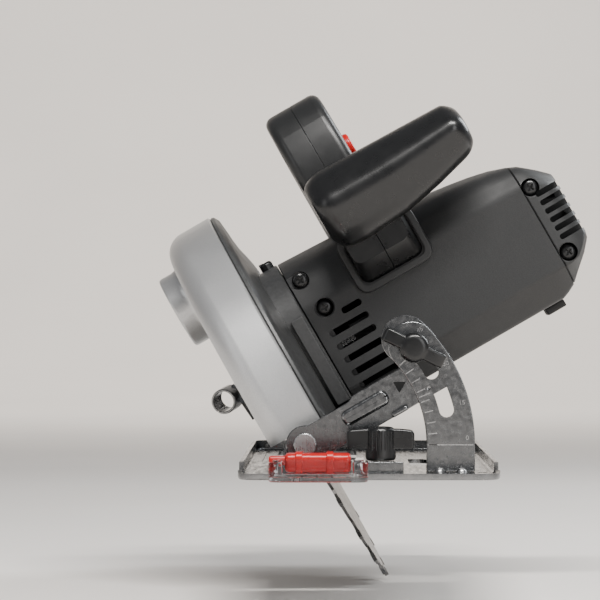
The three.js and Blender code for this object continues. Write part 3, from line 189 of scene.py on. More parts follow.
@dataclass(frozen=True)
class ZincPlate:
    """Zinc-plated pressed steel: cloudy spangle, rolling grain and light rubbing."""

    name: str = "zinc_plate"
    level: float = 0.2
    spangle: float = 420.0
    polish: float = 0.17

    def build(self) -> bpy.types.Material:
        """Makes the material."""
        graph = Graph(self.name)
        cells = graph.node("ShaderNodeTexVoronoi", Scale=self.spangle)
        graph.link(graph.place, cells.inputs["Vector"])
        cloud = graph.noise(60.0, 6.0, 0.65)
        grain = graph.noise(420.0, 4.0, 0.6, (1.0, 0.08, 1.0))
        mix = graph.node("ShaderNodeMath", operation="ADD")
        graph.link(graph.spread(cells.outputs["Distance"], 0.0, 0.45, 0.0, 0.7), mix.inputs[0])
        graph.link(graph.spread(cloud, 0.0, 0.55), mix.inputs[1])
        graph.blend(mix.outputs["Value"], tone(self.level * 0.86, -0.03),
                    tone(self.level * 1.12, -0.01), 0.1, 0.9)
        graph.link(graph.spread(grain, self.polish - 0.06, self.polish + 0.16),
                   graph.shader.inputs["Roughness"])
        graph.constant(Metallic=1.0)
        graph.bump([(cloud, 0.06, 0.0001), (grain, 0.08, 0.00006),
                    (graph.noise(2600.0, 2.0), 0.08, 0.00003)])
        return graph.material


@dataclass(frozen=True)
class MachinedSteel:
    """Turned or ground steel with fine tool marks."""

    name: str = "machined_steel"
    level: float = 0.55
    rough: float = 0.24

    def build(self) -> bpy.types.Material:
        """Makes the material."""
        graph = Graph(self.name)
        marks = graph.noise(1500.0, 3.0, 0.55, (1.0, 1.0, 0.15))
        cloud = graph.noise(80.0, 4.0)
        graph.blend(cloud, tone(self.level * 0.8), tone(self.level * 1.1))
        graph.link(graph.spread(marks, self.rough - 0.05, self.rough + 0.12),
                   graph.shader.inputs["Roughness"])
        graph.constant(Metallic=1.0)
        graph.bump([(marks, 0.10, 0.00004)])
        return graph.material


@dataclass(frozen=True)
class BladeSteel:
    """Ground blade steel: fine rings about the bore and a little pitch staining."""

    name: str = "blade_steel"
    centre: tuple[float, float, float] = (0.0, 0.0, 0.0)

    def build(self) -> bpy.types.Material:
        """Makes the material."""
        graph = Graph(self.name)
        moved = graph.node("ShaderNodeVectorMath", operation="SUBTRACT")
        moved.inputs[1].default_value = self.centre
        graph.link(graph.place, moved.inputs[0])
        length = graph.node("ShaderNodeVectorMath", operation="LENGTH")
        graph.link(moved.outputs["Vector"], length.inputs[0])
        rings = graph.node("ShaderNodeTexNoise", noise_dimensions="1D", Scale=3200.0, Detail=3.0)
        graph.link(length.outputs["Value"], rings.inputs["W"])
        stain = graph.noise(45.0, 5.0, 0.6)
        graph.blend(stain, tone(0.13, 0.03), tone(0.24), 0.35, 0.65)
        graph.link(graph.spread(rings.outputs["Fac"], 0.2, 0.38), graph.shader.inputs["Roughness"])
        graph.constant(Metallic=1.0)
        graph.bump([(rings.outputs["Fac"], 0.16, 0.00005)])
        return graph.material


@dataclass(frozen=True)
class GrainedPlastic:
    """Moulded plastic with a spark-eroded grain."""

    name: str
    level: float
    rough: float = 0.5
    grain: float = 2300.0
    depth: float = 0.22
    tint: float = -0.03

    def build(self) -> bpy.types.Material:
        """Makes the material."""
        graph = Graph(self.name)
        grain = graph.noise(self.grain, 3.0, 0.6)
        cloud = graph.noise(18.0, 4.0)
        rub = graph.noise(130.0, 5.0, 0.7)
        graph.blend(grain, tone(self.level * 0.72, self.tint), tone(self.level * 1.3, self.tint))
        mix = graph.node("ShaderNodeMath", operation="MULTIPLY")
        graph.link(graph.spread(cloud, 0.92, 1.08), mix.inputs[0])
        graph.link(graph.spread(rub, self.rough - 0.05, self.rough + 0.06), mix.inputs[1])
        graph.link(mix.outputs["Value"], graph.shader.inputs["Roughness"])
        graph.constant(IOR=1.49)
        graph.bump([(grain, self.depth, 0.00016), (cloud, 0.02, 0.0006)])
        return graph.material


@dataclass(frozen=True)
class SatinPlastic:
    """Smooth moulded plastic with a soft sheen and faint flow lines."""

    name: str
    colour: tuple[float, float, float]
    rough: float = 0.3
    coat: float = 0.0

    def build(self) -> bpy.types.Material:
        """Makes the material."""
        graph = Graph(self.name)
        cloud = graph.noise(35.0, 5.0, 0.6)
        dark = tuple(channel * 0.86 for channel in self.colour)
        light = tuple(min(1.0, channel * 1.12) for channel in self.colour)
        graph.blend(cloud, dark, light)
        graph.link(graph.spread(graph.noise(160.0, 4.0), self.rough - 0.04, self.rough + 0.06),
                   graph.shader.inputs["Roughness"])
        graph.constant(IOR=1.5, Coat_Weight=self.coat, Coat_Roughness=0.12)
        graph.bump([(graph.noise(1400.0, 2.0), 0.05, 0.00006), (cloud, 0.04, 0.0008)])
        return graph.material


@dataclass(frozen=True)
class CastPaint:
    """Black paint over a sand-smooth casting."""

    name: str = "cast_paint"
    level: float = 0.03

    def build(self) -> bpy.types.Material:
        """Makes the material."""
        graph = Graph(self.name)
        lump = graph.noise(620.0, 4.0, 0.6)
        graph.blend(lump, tone(self.level * 0.75, -0.02), tone(self.level * 1.35, -0.02))
        graph.link(graph.spread(graph.noise(90.0, 4.0), 0.36, 0.5), graph.shader.inputs["Roughness"])
        graph.constant(IOR=1.52, Coat_Weight=0.1, Coat_Roughness=0.3)
        graph.bump([(lump, 0.3, 0.00018), (graph.noise(2400.0, 2.0), 0.12, 0.00006)])
        return graph.material


@dataclass(frozen=True)
class ClearPlastic:
    """Clear moulded polycarbonate with faint flow haze."""

    name: str = "clear_polycarbonate"

    def build(self) -> bpy.types.Material:
        """Makes the material."""
        graph = Graph(self.name)
        haze = graph.noise(240.0, 4.0)
        graph.blend(haze, (0.95, 0.965, 0.97), (1.0, 1.0, 1.0))
        graph.link(graph.spread(haze, 0.0, 0.04), graph.shader.inputs["Roughness"])
        graph.constant(IOR=1.46, Transmission_Weight=1.0)
        graph.bump([(haze, 0.05, 0.0002)])
        return graph.material


@dataclass(frozen=True)
class Rubber:
    """Dull black rubber with a fine bloom."""

    name: str = "rubber"

    def build(self) -> bpy.types.Material:
        """Makes the material."""
        graph = Graph(self.name)
        bloom = graph.noise(300.0, 5.0, 0.7)
        graph.blend(bloom, tone(0.012), tone(0.03))
        graph.link(graph.spread(bloom, 0.62, 0.85), graph.shader.inputs["Roughness"])
        graph.bump([(bloom, 0.2, 0.0002)])
        return graph.material


@dataclass(frozen=True)
class LaminatedIron:
    """Stacked sheet iron: fine bands across the motor's axis."""

    name: str = "laminated_iron"
    axis: tuple[float, float, float] = (1.0, 0.0, 0.0)
    sheet: float = 0.0005

    def build(self) -> bpy.types.Material:
        """Makes the material."""
        graph = Graph(self.name)
        along = graph.node("ShaderNodeVectorMath", operation="DOT_PRODUCT")
        along.inputs[1].default_value = self.axis
        graph.link(graph.place, along.inputs[0])
        wave = graph.node("ShaderNodeMath", operation="SINE")
        scaled = graph.node("ShaderNodeMath", operation="MULTIPLY")
        scaled.inputs[1].default_value = 2 * math.pi / self.sheet
        graph.link(along.outputs["Value"], scaled.inputs[0])
        graph.link(scaled.outputs["Value"], wave.inputs[0])
        graph.blend(wave.outputs["Value"], tone(0.12), tone(0.3), 0.0, 1.0)
        graph.link(graph.spread(graph.noise(120.0, 4.0), 0.38, 0.6), graph.shader.inputs["Roughness"])
        graph.constant(Metallic=0.85)
        graph.bump([(wave.outputs["Value"], 0.25, 0.00008)])
        return graph.material


@dataclass(frozen=True)
class Copper:
    """Drawn copper with handling marks."""

    name: str = "copper"

    def build(self) -> bpy.types.Material:
        """Makes the material."""
        graph = Graph(self.name)
        tarnish = graph.noise(140.0, 5.0, 0.6)
        graph.blend(tarnish, (0.3, 0.13, 0.06), (0.72, 0.36, 0.2))
        graph.link(graph.spread(tarnish, 0.25, 0.5), graph.shader.inputs["Roughness"])
        graph.constant(Metallic=1.0)
        graph.bump([(graph.noise(1800.0, 3.0), 0.1, 0.00005)])
        return graph.material


@dataclass(frozen=True)
class StudioFloor:
    """A pale matt studio floor."""

    name: str = "studio_floor"

    def build(self) -> bpy.types.Material:
        """Makes the material."""
        graph = Graph(self.name)
        graph.blend(graph.noise(3.0, 3.0), tone(0.76, 0.05), tone(0.8, 0.05))
        graph.constant(Roughness=0.85)
        return graph.material


class Slot(Enum):
    """The record's material slots."""

    ZINC = "zinc"
    STEEL = "steel"
    BLADE = "blade_steel"
    SILVER = "silver_paint"
    CAST = "black_cast"
    HOUSING = "housing_plastic"
    HANDLE = "handle_plastic"
    SATIN = "satin_black"
    RED = "red_plastic"
    CLEAR = "clear_plastic"
    RUBBER = "rubber"
    IRON = "lamination"
    COPPER = "copper"


# ---------------------------------------------------------------- mesh workshop
Ring = list[Vector]
Shape = list[tuple[float, float]]


def arc(centre: Point, radius: float, start: float, end: float, steps: int) -> Shape:
    """Points along an arc, angles in degrees."""
    return [(centre[0] + radius * math.cos(math.radians(start + (end - start) * i / steps)),
             centre[1] + radius * math.sin(math.radians(start + (end - start) * i / steps)))
            for i in range(steps + 1)]


def rounded(corners: Sequence[Corner], steps: int = 6) -> Shape:
    """Rounds each (x, y, round) corner of a closed outline with a smooth curve."""
    shape: Shape = []
    count = len(corners)
    for i, (x, y, size) in enumerate(corners):
        here = Vector((x, y))
        back = Vector(corners[i - 1][:2]) - here
        on = Vector(corners[(i + 1) % count][:2]) - here
        if size <= 0:
            shape.append((x, y))
            continue
        start = here + back.normalized() * min(size, back.length * 0.499)
        end = here + on.normalized() * min(size, on.length * 0.499)
        for step in range(steps + 1):
            t = step / steps
            spot = start * (1 - t) ** 2 + here * (2 * t * (1 - t)) + end * t ** 2
            shape.append((spot.x, spot.y))
    return shape


def box_shape(x0: float, y0: float, x1: float, y1: float, size: float, steps: int = 6) -> Shape:
    """A rounded rectangle."""
    return rounded([(x0, y0, size), (x1, y0, size), (x1, y1, size), (x0, y1, size)], steps)


def drawn_in(shape: Shape, distance: float) -> Shape:
    """Moves a counter-clockwise outline inwards, point by point."""
    result: Shape = []
    count = len(shape)
    for i in range(count):
        here = Vector(shape[i])
        before = here - Vector(shape[i - 1])
        after = Vector(shape[(i + 1) % count]) - here
        normals = [Vector((-e.y, e.x)).normalized() for e in (before, after) if e.length > 1e-9]
        normal = sum(normals, Vector((0, 0)))
        normal.normalize()
        stretch = max(0.6, normal.dot(normals[0]))
        spot = here + normal * distance / stretch
        result.append((spot.x, spot.y))
    return result


class Axis(Enum):
    """The direction that an outline is carried along, with its local places."""

    X = Matrix(((0, 0, 1, 0), (1, 0, 0, 0), (0, 1, 0, 0), (0, 0, 0, 1)))
    Y = Matrix(((1, 0, 0, 0), (0, 0, 1, 0), (0, 1, 0, 0), (0, 0, 0, 1)))
    Z = Matrix.Identity(4)


class Form:
    """A mesh being shaped, in millimetres."""

    def __init__(self, bm: bmesh.types.BMesh) -> None:
        """Wraps a mesh and turns its faces outwards."""
        self.bm = bm
        bmesh.ops.remove_doubles(bm, verts=bm.verts, dist=1e-4)
        bmesh.ops.recalc_face_normals(bm, faces=bm.faces)
        if bm.calc_volume(signed=True) < 0:
            bmesh.ops.reverse_faces(bm, faces=bm.faces)

    @classmethod
    def skin(cls, rings: Sequence[Ring], closed: bool = False) -> "Form":
        """Skins over rings of equal length; unless closed on itself, both ends are capped."""
        bm = bmesh.new()
        made = [[bm.verts.new(point) for point in ring] for ring in rings]
        count = len(made[0])
        pairs = list(zip(made, made[1:])) + ([(made[-1], made[0])] if closed else [])
        for one, two in pairs:
            for i in range(count):
                j = (i + 1) % count
                bm.faces.new((one[i], one[j], two[j], two[i]))
        if not closed:
            bm.faces.new(made[0][::-1])
            bm.faces.new(made[-1])
        return cls(bm)

    @classmethod
    def slab(cls, shape: Shape, start: float, end: float, axis: Axis, soft: float = 0.4,
             steps: int = 2, soft_end: float | None = None) -> "Form":
        """An outline carried along an axis, with its edges rounded over.

        Args:
            shape: the outline, counter-clockwise.
            start: where the slab begins along the axis.
            end: where it ends.
            axis: the direction that it is carried along.
            soft: the radius of the rounding at the start.
            steps: facets of each rounding.
            soft_end: the radius at the end, if it isn't the same.

        Returns:
            The slab.
        """
        far = soft if soft_end is None else soft_end
        layers = [(start + soft * (1 - math.sin(a)), soft * (1 - math.cos(a)))
                  for a in [math.pi / 2 * i / steps for i in range(steps, -1, -1)]]
        layers += [(end - far * (1 - math.sin(a)), far * (1 - math.cos(a)))
                   for a in [math.pi / 2 * i / steps for i in range(steps + 1)]]
        rings = []
        for along, draw in layers:
            rings.append([axis.value @ Vector((x, y, along)) for x, y in drawn_in(shape, draw)])
        return cls.skin(rings)

    @classmethod
    def rod(cls, radius: float, start: float, end: float, axis: Axis,
            centre: Sequence[float], sides: int = 64) -> "Form":
        """A plain cylinder along an axis, through a centre."""
        profile = [(start, 0), (start, radius), (end, radius), (end, 0)]
        return cls.turned(profile, axis, centre, sides)

    @classmethod
    def turned(cls, profile: Shape, axis: Axis, centre: Sequence[float], sides: int = 64) -> "Form":
        """Turns a profile of (along, radius) places about an axis through a centre."""
        bm = bmesh.new()
        rings = []
        for along, radius in profile:
            if radius < 1e-6:
                rings.append([bm.verts.new(axis.value @ Vector((0, 0, along)))])
                continue
            rings.append([bm.verts.new(axis.value @ Vector((
                radius * math.cos(2 * math.pi * i / sides), radius * math.sin(2 * math.pi * i / sides),
                along))) for i in range(sides)])
        loop = zip(rings, rings[1:] + ([rings[0]] if len(rings[0]) > 1 else []))
        for one, two in loop:
            for i in range(sides):
                j = (i + 1) % sides
                if len(one) == 1 and len(two) == 1:
                    break
                if len(one) == 1:
                    bm.faces.new((one[0], two[j], two[i]))
                elif len(two) == 1:
                    bm.faces.new((one[i], one[j], two[0]))
                else:
                    bm.faces.new((one[i], one[j], two[j], two[i]))
        form = cls(bm)
        return form.moved(Matrix.Translation(centre))

    @classmethod
    def of_node(cls, node: str, weld: float = 0.01) -> "Form":
        """A welded copy of a CAD node in world millimetres, its flat faces made whole."""
        bm = bmesh.new()
        bm.from_mesh(frame["nodes"][node].data)
        bmesh.ops.scale(bm, vec=(1 / MM,) * 3, verts=bm.verts)
        bmesh.ops.remove_doubles(bm, verts=bm.verts, dist=weld)
        bmesh.ops.dissolve_limit(bm, angle_limit=math.radians(1.0), verts=bm.verts, edges=bm.edges)
        return cls(bm)

    def moved(self, matrix: Matrix) -> "Form":
        """Moves the form by a matrix."""
        bmesh.ops.transform(self.bm, matrix=matrix, verts=self.bm.verts)
        return self

    def with_parts(self, *others: "Form") -> "Form":
        """Adds other forms as loose parts of the same mesh."""
        for other in others:
            mesh = bpy.data.meshes.new("part")
            other.bm.to_mesh(mesh)
            self.bm.from_mesh(mesh)
            bpy.data.meshes.remove(mesh)
        return self

    def object(self, name: str) -> bpy.types.Object:
        """Makes an object of the form, still in millimetres."""
        mesh = bpy.data.meshes.new(name)
        self.bm.to_mesh(mesh)
        made = bpy.data.objects.new(name, mesh)
        bpy.context.scene.collection.objects.link(made)
        return made

    def _boolean(self, other: "Form", operation: str) -> "Form":
        """Runs one boolean against another form."""
        one = self.object("one")
        two = other.object("two")
        modifier = one.modifiers.new("cut", "BOOLEAN")
        modifier.operation = operation
        modifier.solver = "EXACT"
        modifier.use_self = True
        modifier.object = two
        graph = bpy.context.evaluated_depsgraph_get()
        mesh = bpy.data.meshes.new_from_object(one.evaluated_get(graph))
        bm = bmesh.new()
        bm.from_mesh(mesh)
        for made in (one, two):
            old = made.data
            bpy.data.objects.remove(made)
            bpy.data.meshes.remove(old)
        bpy.data.meshes.remove(mesh)
        return Form(bm)

    def less(self, *tools: "Form") -> "Form":
        """Cuts other forms away, gathered as one tool."""
        return self._boolean(tools[0].with_parts(*tools[1:]), "DIFFERENCE")

    def plus(self, other: "Form") -> "Form":
        """Joins another form on."""
        return self._boolean(other, "UNION")

    def within(self, other: "Form") -> "Form":
        """Keeps what lies inside another form."""
        return self._boolean(other, "INTERSECT")


@dataclass(frozen=True)
class HeadFrame:
    """The saw head's own axes: h along the spindle, y to the rear, v up in the blade's plane."""

    matrix: Matrix

    @classmethod
    def of(cls, joints: list[dict]) -> "HeadFrame":
        """Reads the axes from the bevel joint and the spindle joint."""
        named = {joint["name"]: joint for joint in joints}
        origin = Vector(named["bevel_tilt"]["pos_m"]) / MM
        along = Vector(named["spindle_spin"]["axis"]).normalized()
        up = along.cross(Vector((0, 1, 0)))
        turn = Matrix((along, Vector((0, 1, 0)), up)).transposed().to_4x4()
        return cls(Matrix.Translation(Vector((origin.x, 0, origin.z))) @ turn)

    def at(self, h: float, y: float, v: float) -> Vector:
        """A place in the head as a place in the world, in millimetres."""
        return self.matrix @ Vector((h, y, v))


HEAD = HeadFrame.of(frame["joints"])
BASE = Matrix.Identity(4)


@dataclass
class Bench:
    """Finishes forms into pieces: bevels, shades, dresses, seats and reports them."""

    finishes: dict[Slot, bpy.types.Material]
    made: list[str] = field(default_factory=list)

    def piece(self, name: str, form: Form, body: str, slot: Slot, home: Matrix = BASE,
              nodes: Sequence[str] = (), bevel: float = 0.0, segments: int = 2,
              smooth: float = 35.0, edge: float = 30.0) -> bpy.types.Object:
        """Makes one finished piece.

        Args:
            name: the piece's name.
            form: its shape in millimetres.
            body: the CAD body that it moves with.
            slot: the material slot of its finish.
            home: the frame that the form was drawn in.
            nodes: CAD nodes that it stands for.
            bevel: width of the edge rounding in millimetres.
            segments: facets of that rounding.
            smooth: the sharpest angle, in degrees, that is shaded smooth.
            edge: the bluntest angle, in degrees, that is bevelled.

        Returns:
            The finished object.
        """
        made = form.moved(Matrix.Scale(MM, 4) @ home).object(name)
        if bevel > 0:
            modifier = made.modifiers.new("edges", "BEVEL")
            modifier.width = bevel * MM
            modifier.segments = segments
            modifier.limit_method = "ANGLE"
            modifier.angle_limit = math.radians(edge)
            modifier.use_clamp_overlap = True
            modifier.harden_normals = False
        self._apply(made)
        made.data.polygons.foreach_set("use_smooth", [True] * len(made.data.polygons))
        made.data.set_sharp_from_angle(angle=math.radians(smooth))
        weighted = made.modifiers.new("normals", "WEIGHTED_NORMAL")
        weighted.keep_sharp = True
        weighted.weight = 90
        self._apply(made)
        made.data.materials.clear()
        made.data.materials.append(self.finishes[slot])
        self.seat(made, body, slot, nodes)
        return made

    @staticmethod
    def _apply(made: bpy.types.Object) -> None:
        """Applies an object's modifiers to its mesh."""
        if not made.modifiers:
            return
        graph = bpy.context.evaluated_depsgraph_get()
        mesh = bpy.data.meshes.new_from_object(made.evaluated_get(graph))
        made.modifiers.clear()
        old = made.data
        made.data = mesh
        bpy.data.meshes.remove(old)

    def seat(self, made: bpy.types.Object, body: str, slot: Slot, nodes: Sequence[str]) -> None:
        """Rides a finished object on its body, hides the CAD nodes that it stands for and logs it."""
        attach(made, body)
        if nodes:
            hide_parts(*nodes)
        self.made.append(made.name)
        log.info("piece %s on %s: %d faces", made.name, body, len(made.data.polygons))

    def refined(self, node: str, body: str, slot: Slot, bevel: float = 0.4, segments: int = 2,
                smooth: float = 35.0) -> bpy.types.Object:
        """Stands a bevelled, smooth-shaded copy in for a CAD node whose form is right."""
        return self.piece(f"{node}_skin", Form.of_node(node), body, slot, nodes=(node,),
                          bevel=bevel, segments=segments, smooth=smooth)


# ---------------------------------------------------------------- repeated features
class Repeater:
    """Geometry Nodes groups that repeat a seed form along a row, round an axis or at places."""

    def __init__(self) -> None:
        """Builds both groups."""
        self.row = self._group("repeat_row", in_rows=True)
        self.spots = self._group("repeat_spots", in_rows=False)

    @staticmethod
    def _group(name: str, in_rows: bool) -> bpy.types.NodeTree:
        """Builds one group.

        Args:
            name: the group's name.
            in_rows: True for an even row that may also turn, False to use the host's own points.

        Returns:
            The group.
        """
        tree = bpy.data.node_groups.new(name, "GeometryNodeTree")
        sockets = [("Geometry", "NodeSocketGeometry"), ("Seed", "NodeSocketObject"),
                   ("Count", "NodeSocketInt"), ("Step", "NodeSocketVector"),
                   ("Axis", "NodeSocketVector"), ("Turn", "NodeSocketFloat"),
                   ("Material", "NodeSocketMaterial")]
        for label, kind in sockets:
            tree.interface.new_socket(label, in_out="INPUT", socket_type=kind)
        tree.interface.new_socket("Geometry", in_out="OUTPUT", socket_type="NodeSocketGeometry")
        given = tree.nodes.new("NodeGroupInput").outputs
        seed = tree.nodes.new("GeometryNodeObjectInfo")
        place = tree.nodes.new("GeometryNodeInstanceOnPoints")
        turn = tree.nodes.new("FunctionNodeAxisAngleToRotation")
        angle = tree.nodes.new("ShaderNodeMath")
        angle.operation = "MULTIPLY"
        index = tree.nodes.new("GeometryNodeInputIndex")
        whole = tree.nodes.new("GeometryNodeRealizeInstances")
        dress = tree.nodes.new("GeometryNodeSetMaterial")
        result = tree.nodes.new("NodeGroupOutput")
        link = tree.links.new
        if in_rows:
            line = tree.nodes.new("GeometryNodeMeshLine")
            link(given["Count"], line.inputs["Count"])
            link(given["Step"], line.inputs["Offset"])
            link(line.outputs["Mesh"], place.inputs["Points"])
        else:
            link(given["Geometry"], place.inputs["Points"])
        link(given["Seed"], seed.inputs["Object"])
        link(seed.outputs["Geometry"], place.inputs["Instance"])
        link(index.outputs["Index"], angle.inputs[0])
        link(given["Turn"], angle.inputs[1])
        link(given["Axis"], turn.inputs["Axis"])
        link(angle.outputs["Value"], turn.inputs["Angle"])
        link(turn.outputs["Rotation"], place.inputs["Rotation"])
        link(place.outputs["Instances"], whole.inputs["Geometry"])
        link(whole.outputs["Geometry"], dress.inputs["Geometry"])
        link(given["Material"], dress.inputs["Material"])
        link(dress.outputs["Geometry"], result.inputs["Geometry"])
        return tree

    def _run(self, tree: bpy.types.NodeTree, seed: Form, points: Sequence[Sequence[float]],
             **inputs: object) -> Form:
        """Runs a group on a host of points, and takes the result out as a plain form."""
        seed_object = seed.object("seed")
        mesh = bpy.data.meshes.new("host")
        mesh.from_pydata([tuple(point) for point in points], [], [])
        host = bpy.data.objects.new("host", mesh)
        bpy.context.scene.collection.objects.link(host)
        modifier = host.modifiers.new("repeat", "NODES")
        modifier.node_group = tree
        names = {item.name: item.identifier for item in tree.interface.items_tree
                 if item.in_out == "INPUT"}
        modifier[names["Seed"]] = seed_object
        for name, value in inputs.items():
            modifier[names[name]] = value
        bpy.context.view_layer.update()
        graph = bpy.context.evaluated_depsgraph_get()
        done = bpy.data.meshes.new_from_object(host.evaluated_get(graph))
        bm = bmesh.new()
        bm.from_mesh(done)
        for made in (host, seed_object):
            old = made.data
            bpy.data.objects.remove(made)
            bpy.data.meshes.remove(old)
        bpy.data.meshes.remove(done)
        return Form(bm)

    def along(self, seed: Form, count: int, step: Sequence[float]) -> Form:
        """Repeats a seed in an even row."""
        return self._run(self.row, seed, [(0, 0, 0)], Count=count, Step=tuple(step),
                         Axis=(0.0, 0.0, 1.0), Turn=0.0)

    def around(self, seed: Form, count: int, degrees: float, axis: Sequence[float],
               centre: Sequence[float] = (0, 0, 0)) -> Form:
        """Repeats a seed, drawn about the origin, every so many degrees about an axis."""
        form = self._run(self.row, seed, [(0, 0, 0)], Count=count, Step=(0.0, 0.0, 0.0),
                         Axis=tuple(axis), Turn=math.radians(degrees))
        return form.moved(Matrix.Translation(centre))

    def at(self, seed: Form, places: Sequence[Sequence[float]]) -> Form:
        """Repeats a seed at chosen places."""
        return self._run(self.spots, seed, places, Axis=(0.0, 0.0, 1.0), Turn=0.0)


def along_line(points: Sequence[Point], at: float) -> float:
    """Reads a line through points, given in order, at a place along it."""
    for (a, one), (b, two) in zip(points, points[1:]):
        if at <= b:
            return one + (two - one) * (at - a) / (b - a)
    return points[-1][1]


def curved_slot(centre: Point, radius: float, half: float, low: float, high: float,
                steps: int) -> Shape:
    """The outline of a round-ended slot along an arc, angles in degrees."""
    far, near = arc(centre, radius, high, low, 1)
    return [*arc(centre, radius + half, low, high, steps), *arc(far, half, high, high + 180, 12)[1:],
            *arc(centre, radius - half, high, low, steps)[1:],
            *arc(near, half, low + 180, low + 360, 12)[1:-1]]


def box_form(x: Point, y: Point, z: Point, soft: float = 0.3, steps: int = 2) -> Form:
    """A block with rounded edges, from (low, high) pairs."""
    corner = max(soft * 1.5, 0.2)
    return Form.slab(box_shape(x[0], y[0], x[1], y[1], corner, 4), z[0], z[1], Axis.Z, soft, steps)


# ---------------------------------------------------------------- sizes
@dataclass(frozen=True)
class Head:
    """Sizes in the saw head's frame."""

    spindle: Point = (35.0, 14.0)
    guard_r: float = 101.0
    guard_out: float = -15.1
    guard_in: float = 11.3
    wall: float = 2.5
    edge_v: float = 5.8
    port: Point = (71.0, 83.2)
    port_r: float = 18.7
    port_end: float = -26.9
    dome: float = 19.2
    case_end: float = 28.3
    motor: Point = (19.8, 30.6)
    y0: float = -16.2
    y1: float = 55.8
    v0: float = -3.8
    housing_end: float = 146.0
    cap_end: float = 163.0
    crown: tuple[Point, ...] = ((28, 78.4), (58, 77.2), (80, 75.4), (102, 72.8), (125, 69.8),
                                (138, 67.0), (146, 64.2), (152, 60.8), (157, 56.8), (163, 51.2))
    underside: tuple[Point, ...] = ((28, -3.8), (139.5, -3.8), (146, -0.4), (151, 4.0), (157, 8.6),
                                    (163, 15.0))
    handle: Point = (57.0, 86.4)
    grip_top: float = 105.4
    lower_r: float = 97.2

    def top_at(self, h: float) -> float:
        """Height of the housing's crown at a distance along the spindle."""
        return along_line(self.crown, h)

    def foot_at(self, h: float) -> float:
        """Height of the housing's underside at a distance along the spindle."""
        return along_line(self.underside, h)


@dataclass(frozen=True)
class Base:
    """Sizes in the base's frame."""

    half: float = 58.0
    front: float = -125.0
    rear: float = 155.0
    sheet: float = 2.0
    lip: float = 7.0
    pivot: Point = (-28.6, 14.2)
    arc_r: float = 65.6
    arc_half: float = 10.9
    slot_half: float = 3.3
    bracket_front: float = -86.2
    plate: float = 2.2
    fence: Point = (5.3, -105.0)
    foot_z: float = 2.3
    rivet_xs: Point = (32.0, 41.8)
    rivet_y: float = -80.0
    hinge: Point = (-62.0, -3.5)
    bolt_angle: float = 41.8
    bevel: float = 30.0


SIZE = Head()
SOLE = Base()


# ---------------------------------------------------------------- assemblies
class Assembly:
    """A set of pieces that belong together."""

    def __init__(self, bench: Bench, repeater: Repeater) -> None:
        """Keeps the tools that every assembly uses."""
        self.bench = bench
        self.repeat = repeater

    def build(self) -> None:
        """Makes the pieces."""
        raise NotImplementedError

    def head(self, name: str, form: Form, slot: Slot, nodes: Sequence[str],
             body: str = "head", **looks: float) -> bpy.types.Object:
        """Makes a piece that was drawn in the head's frame."""
        return self.bench.piece(name, form, body, slot, HEAD.matrix, nodes, **looks)


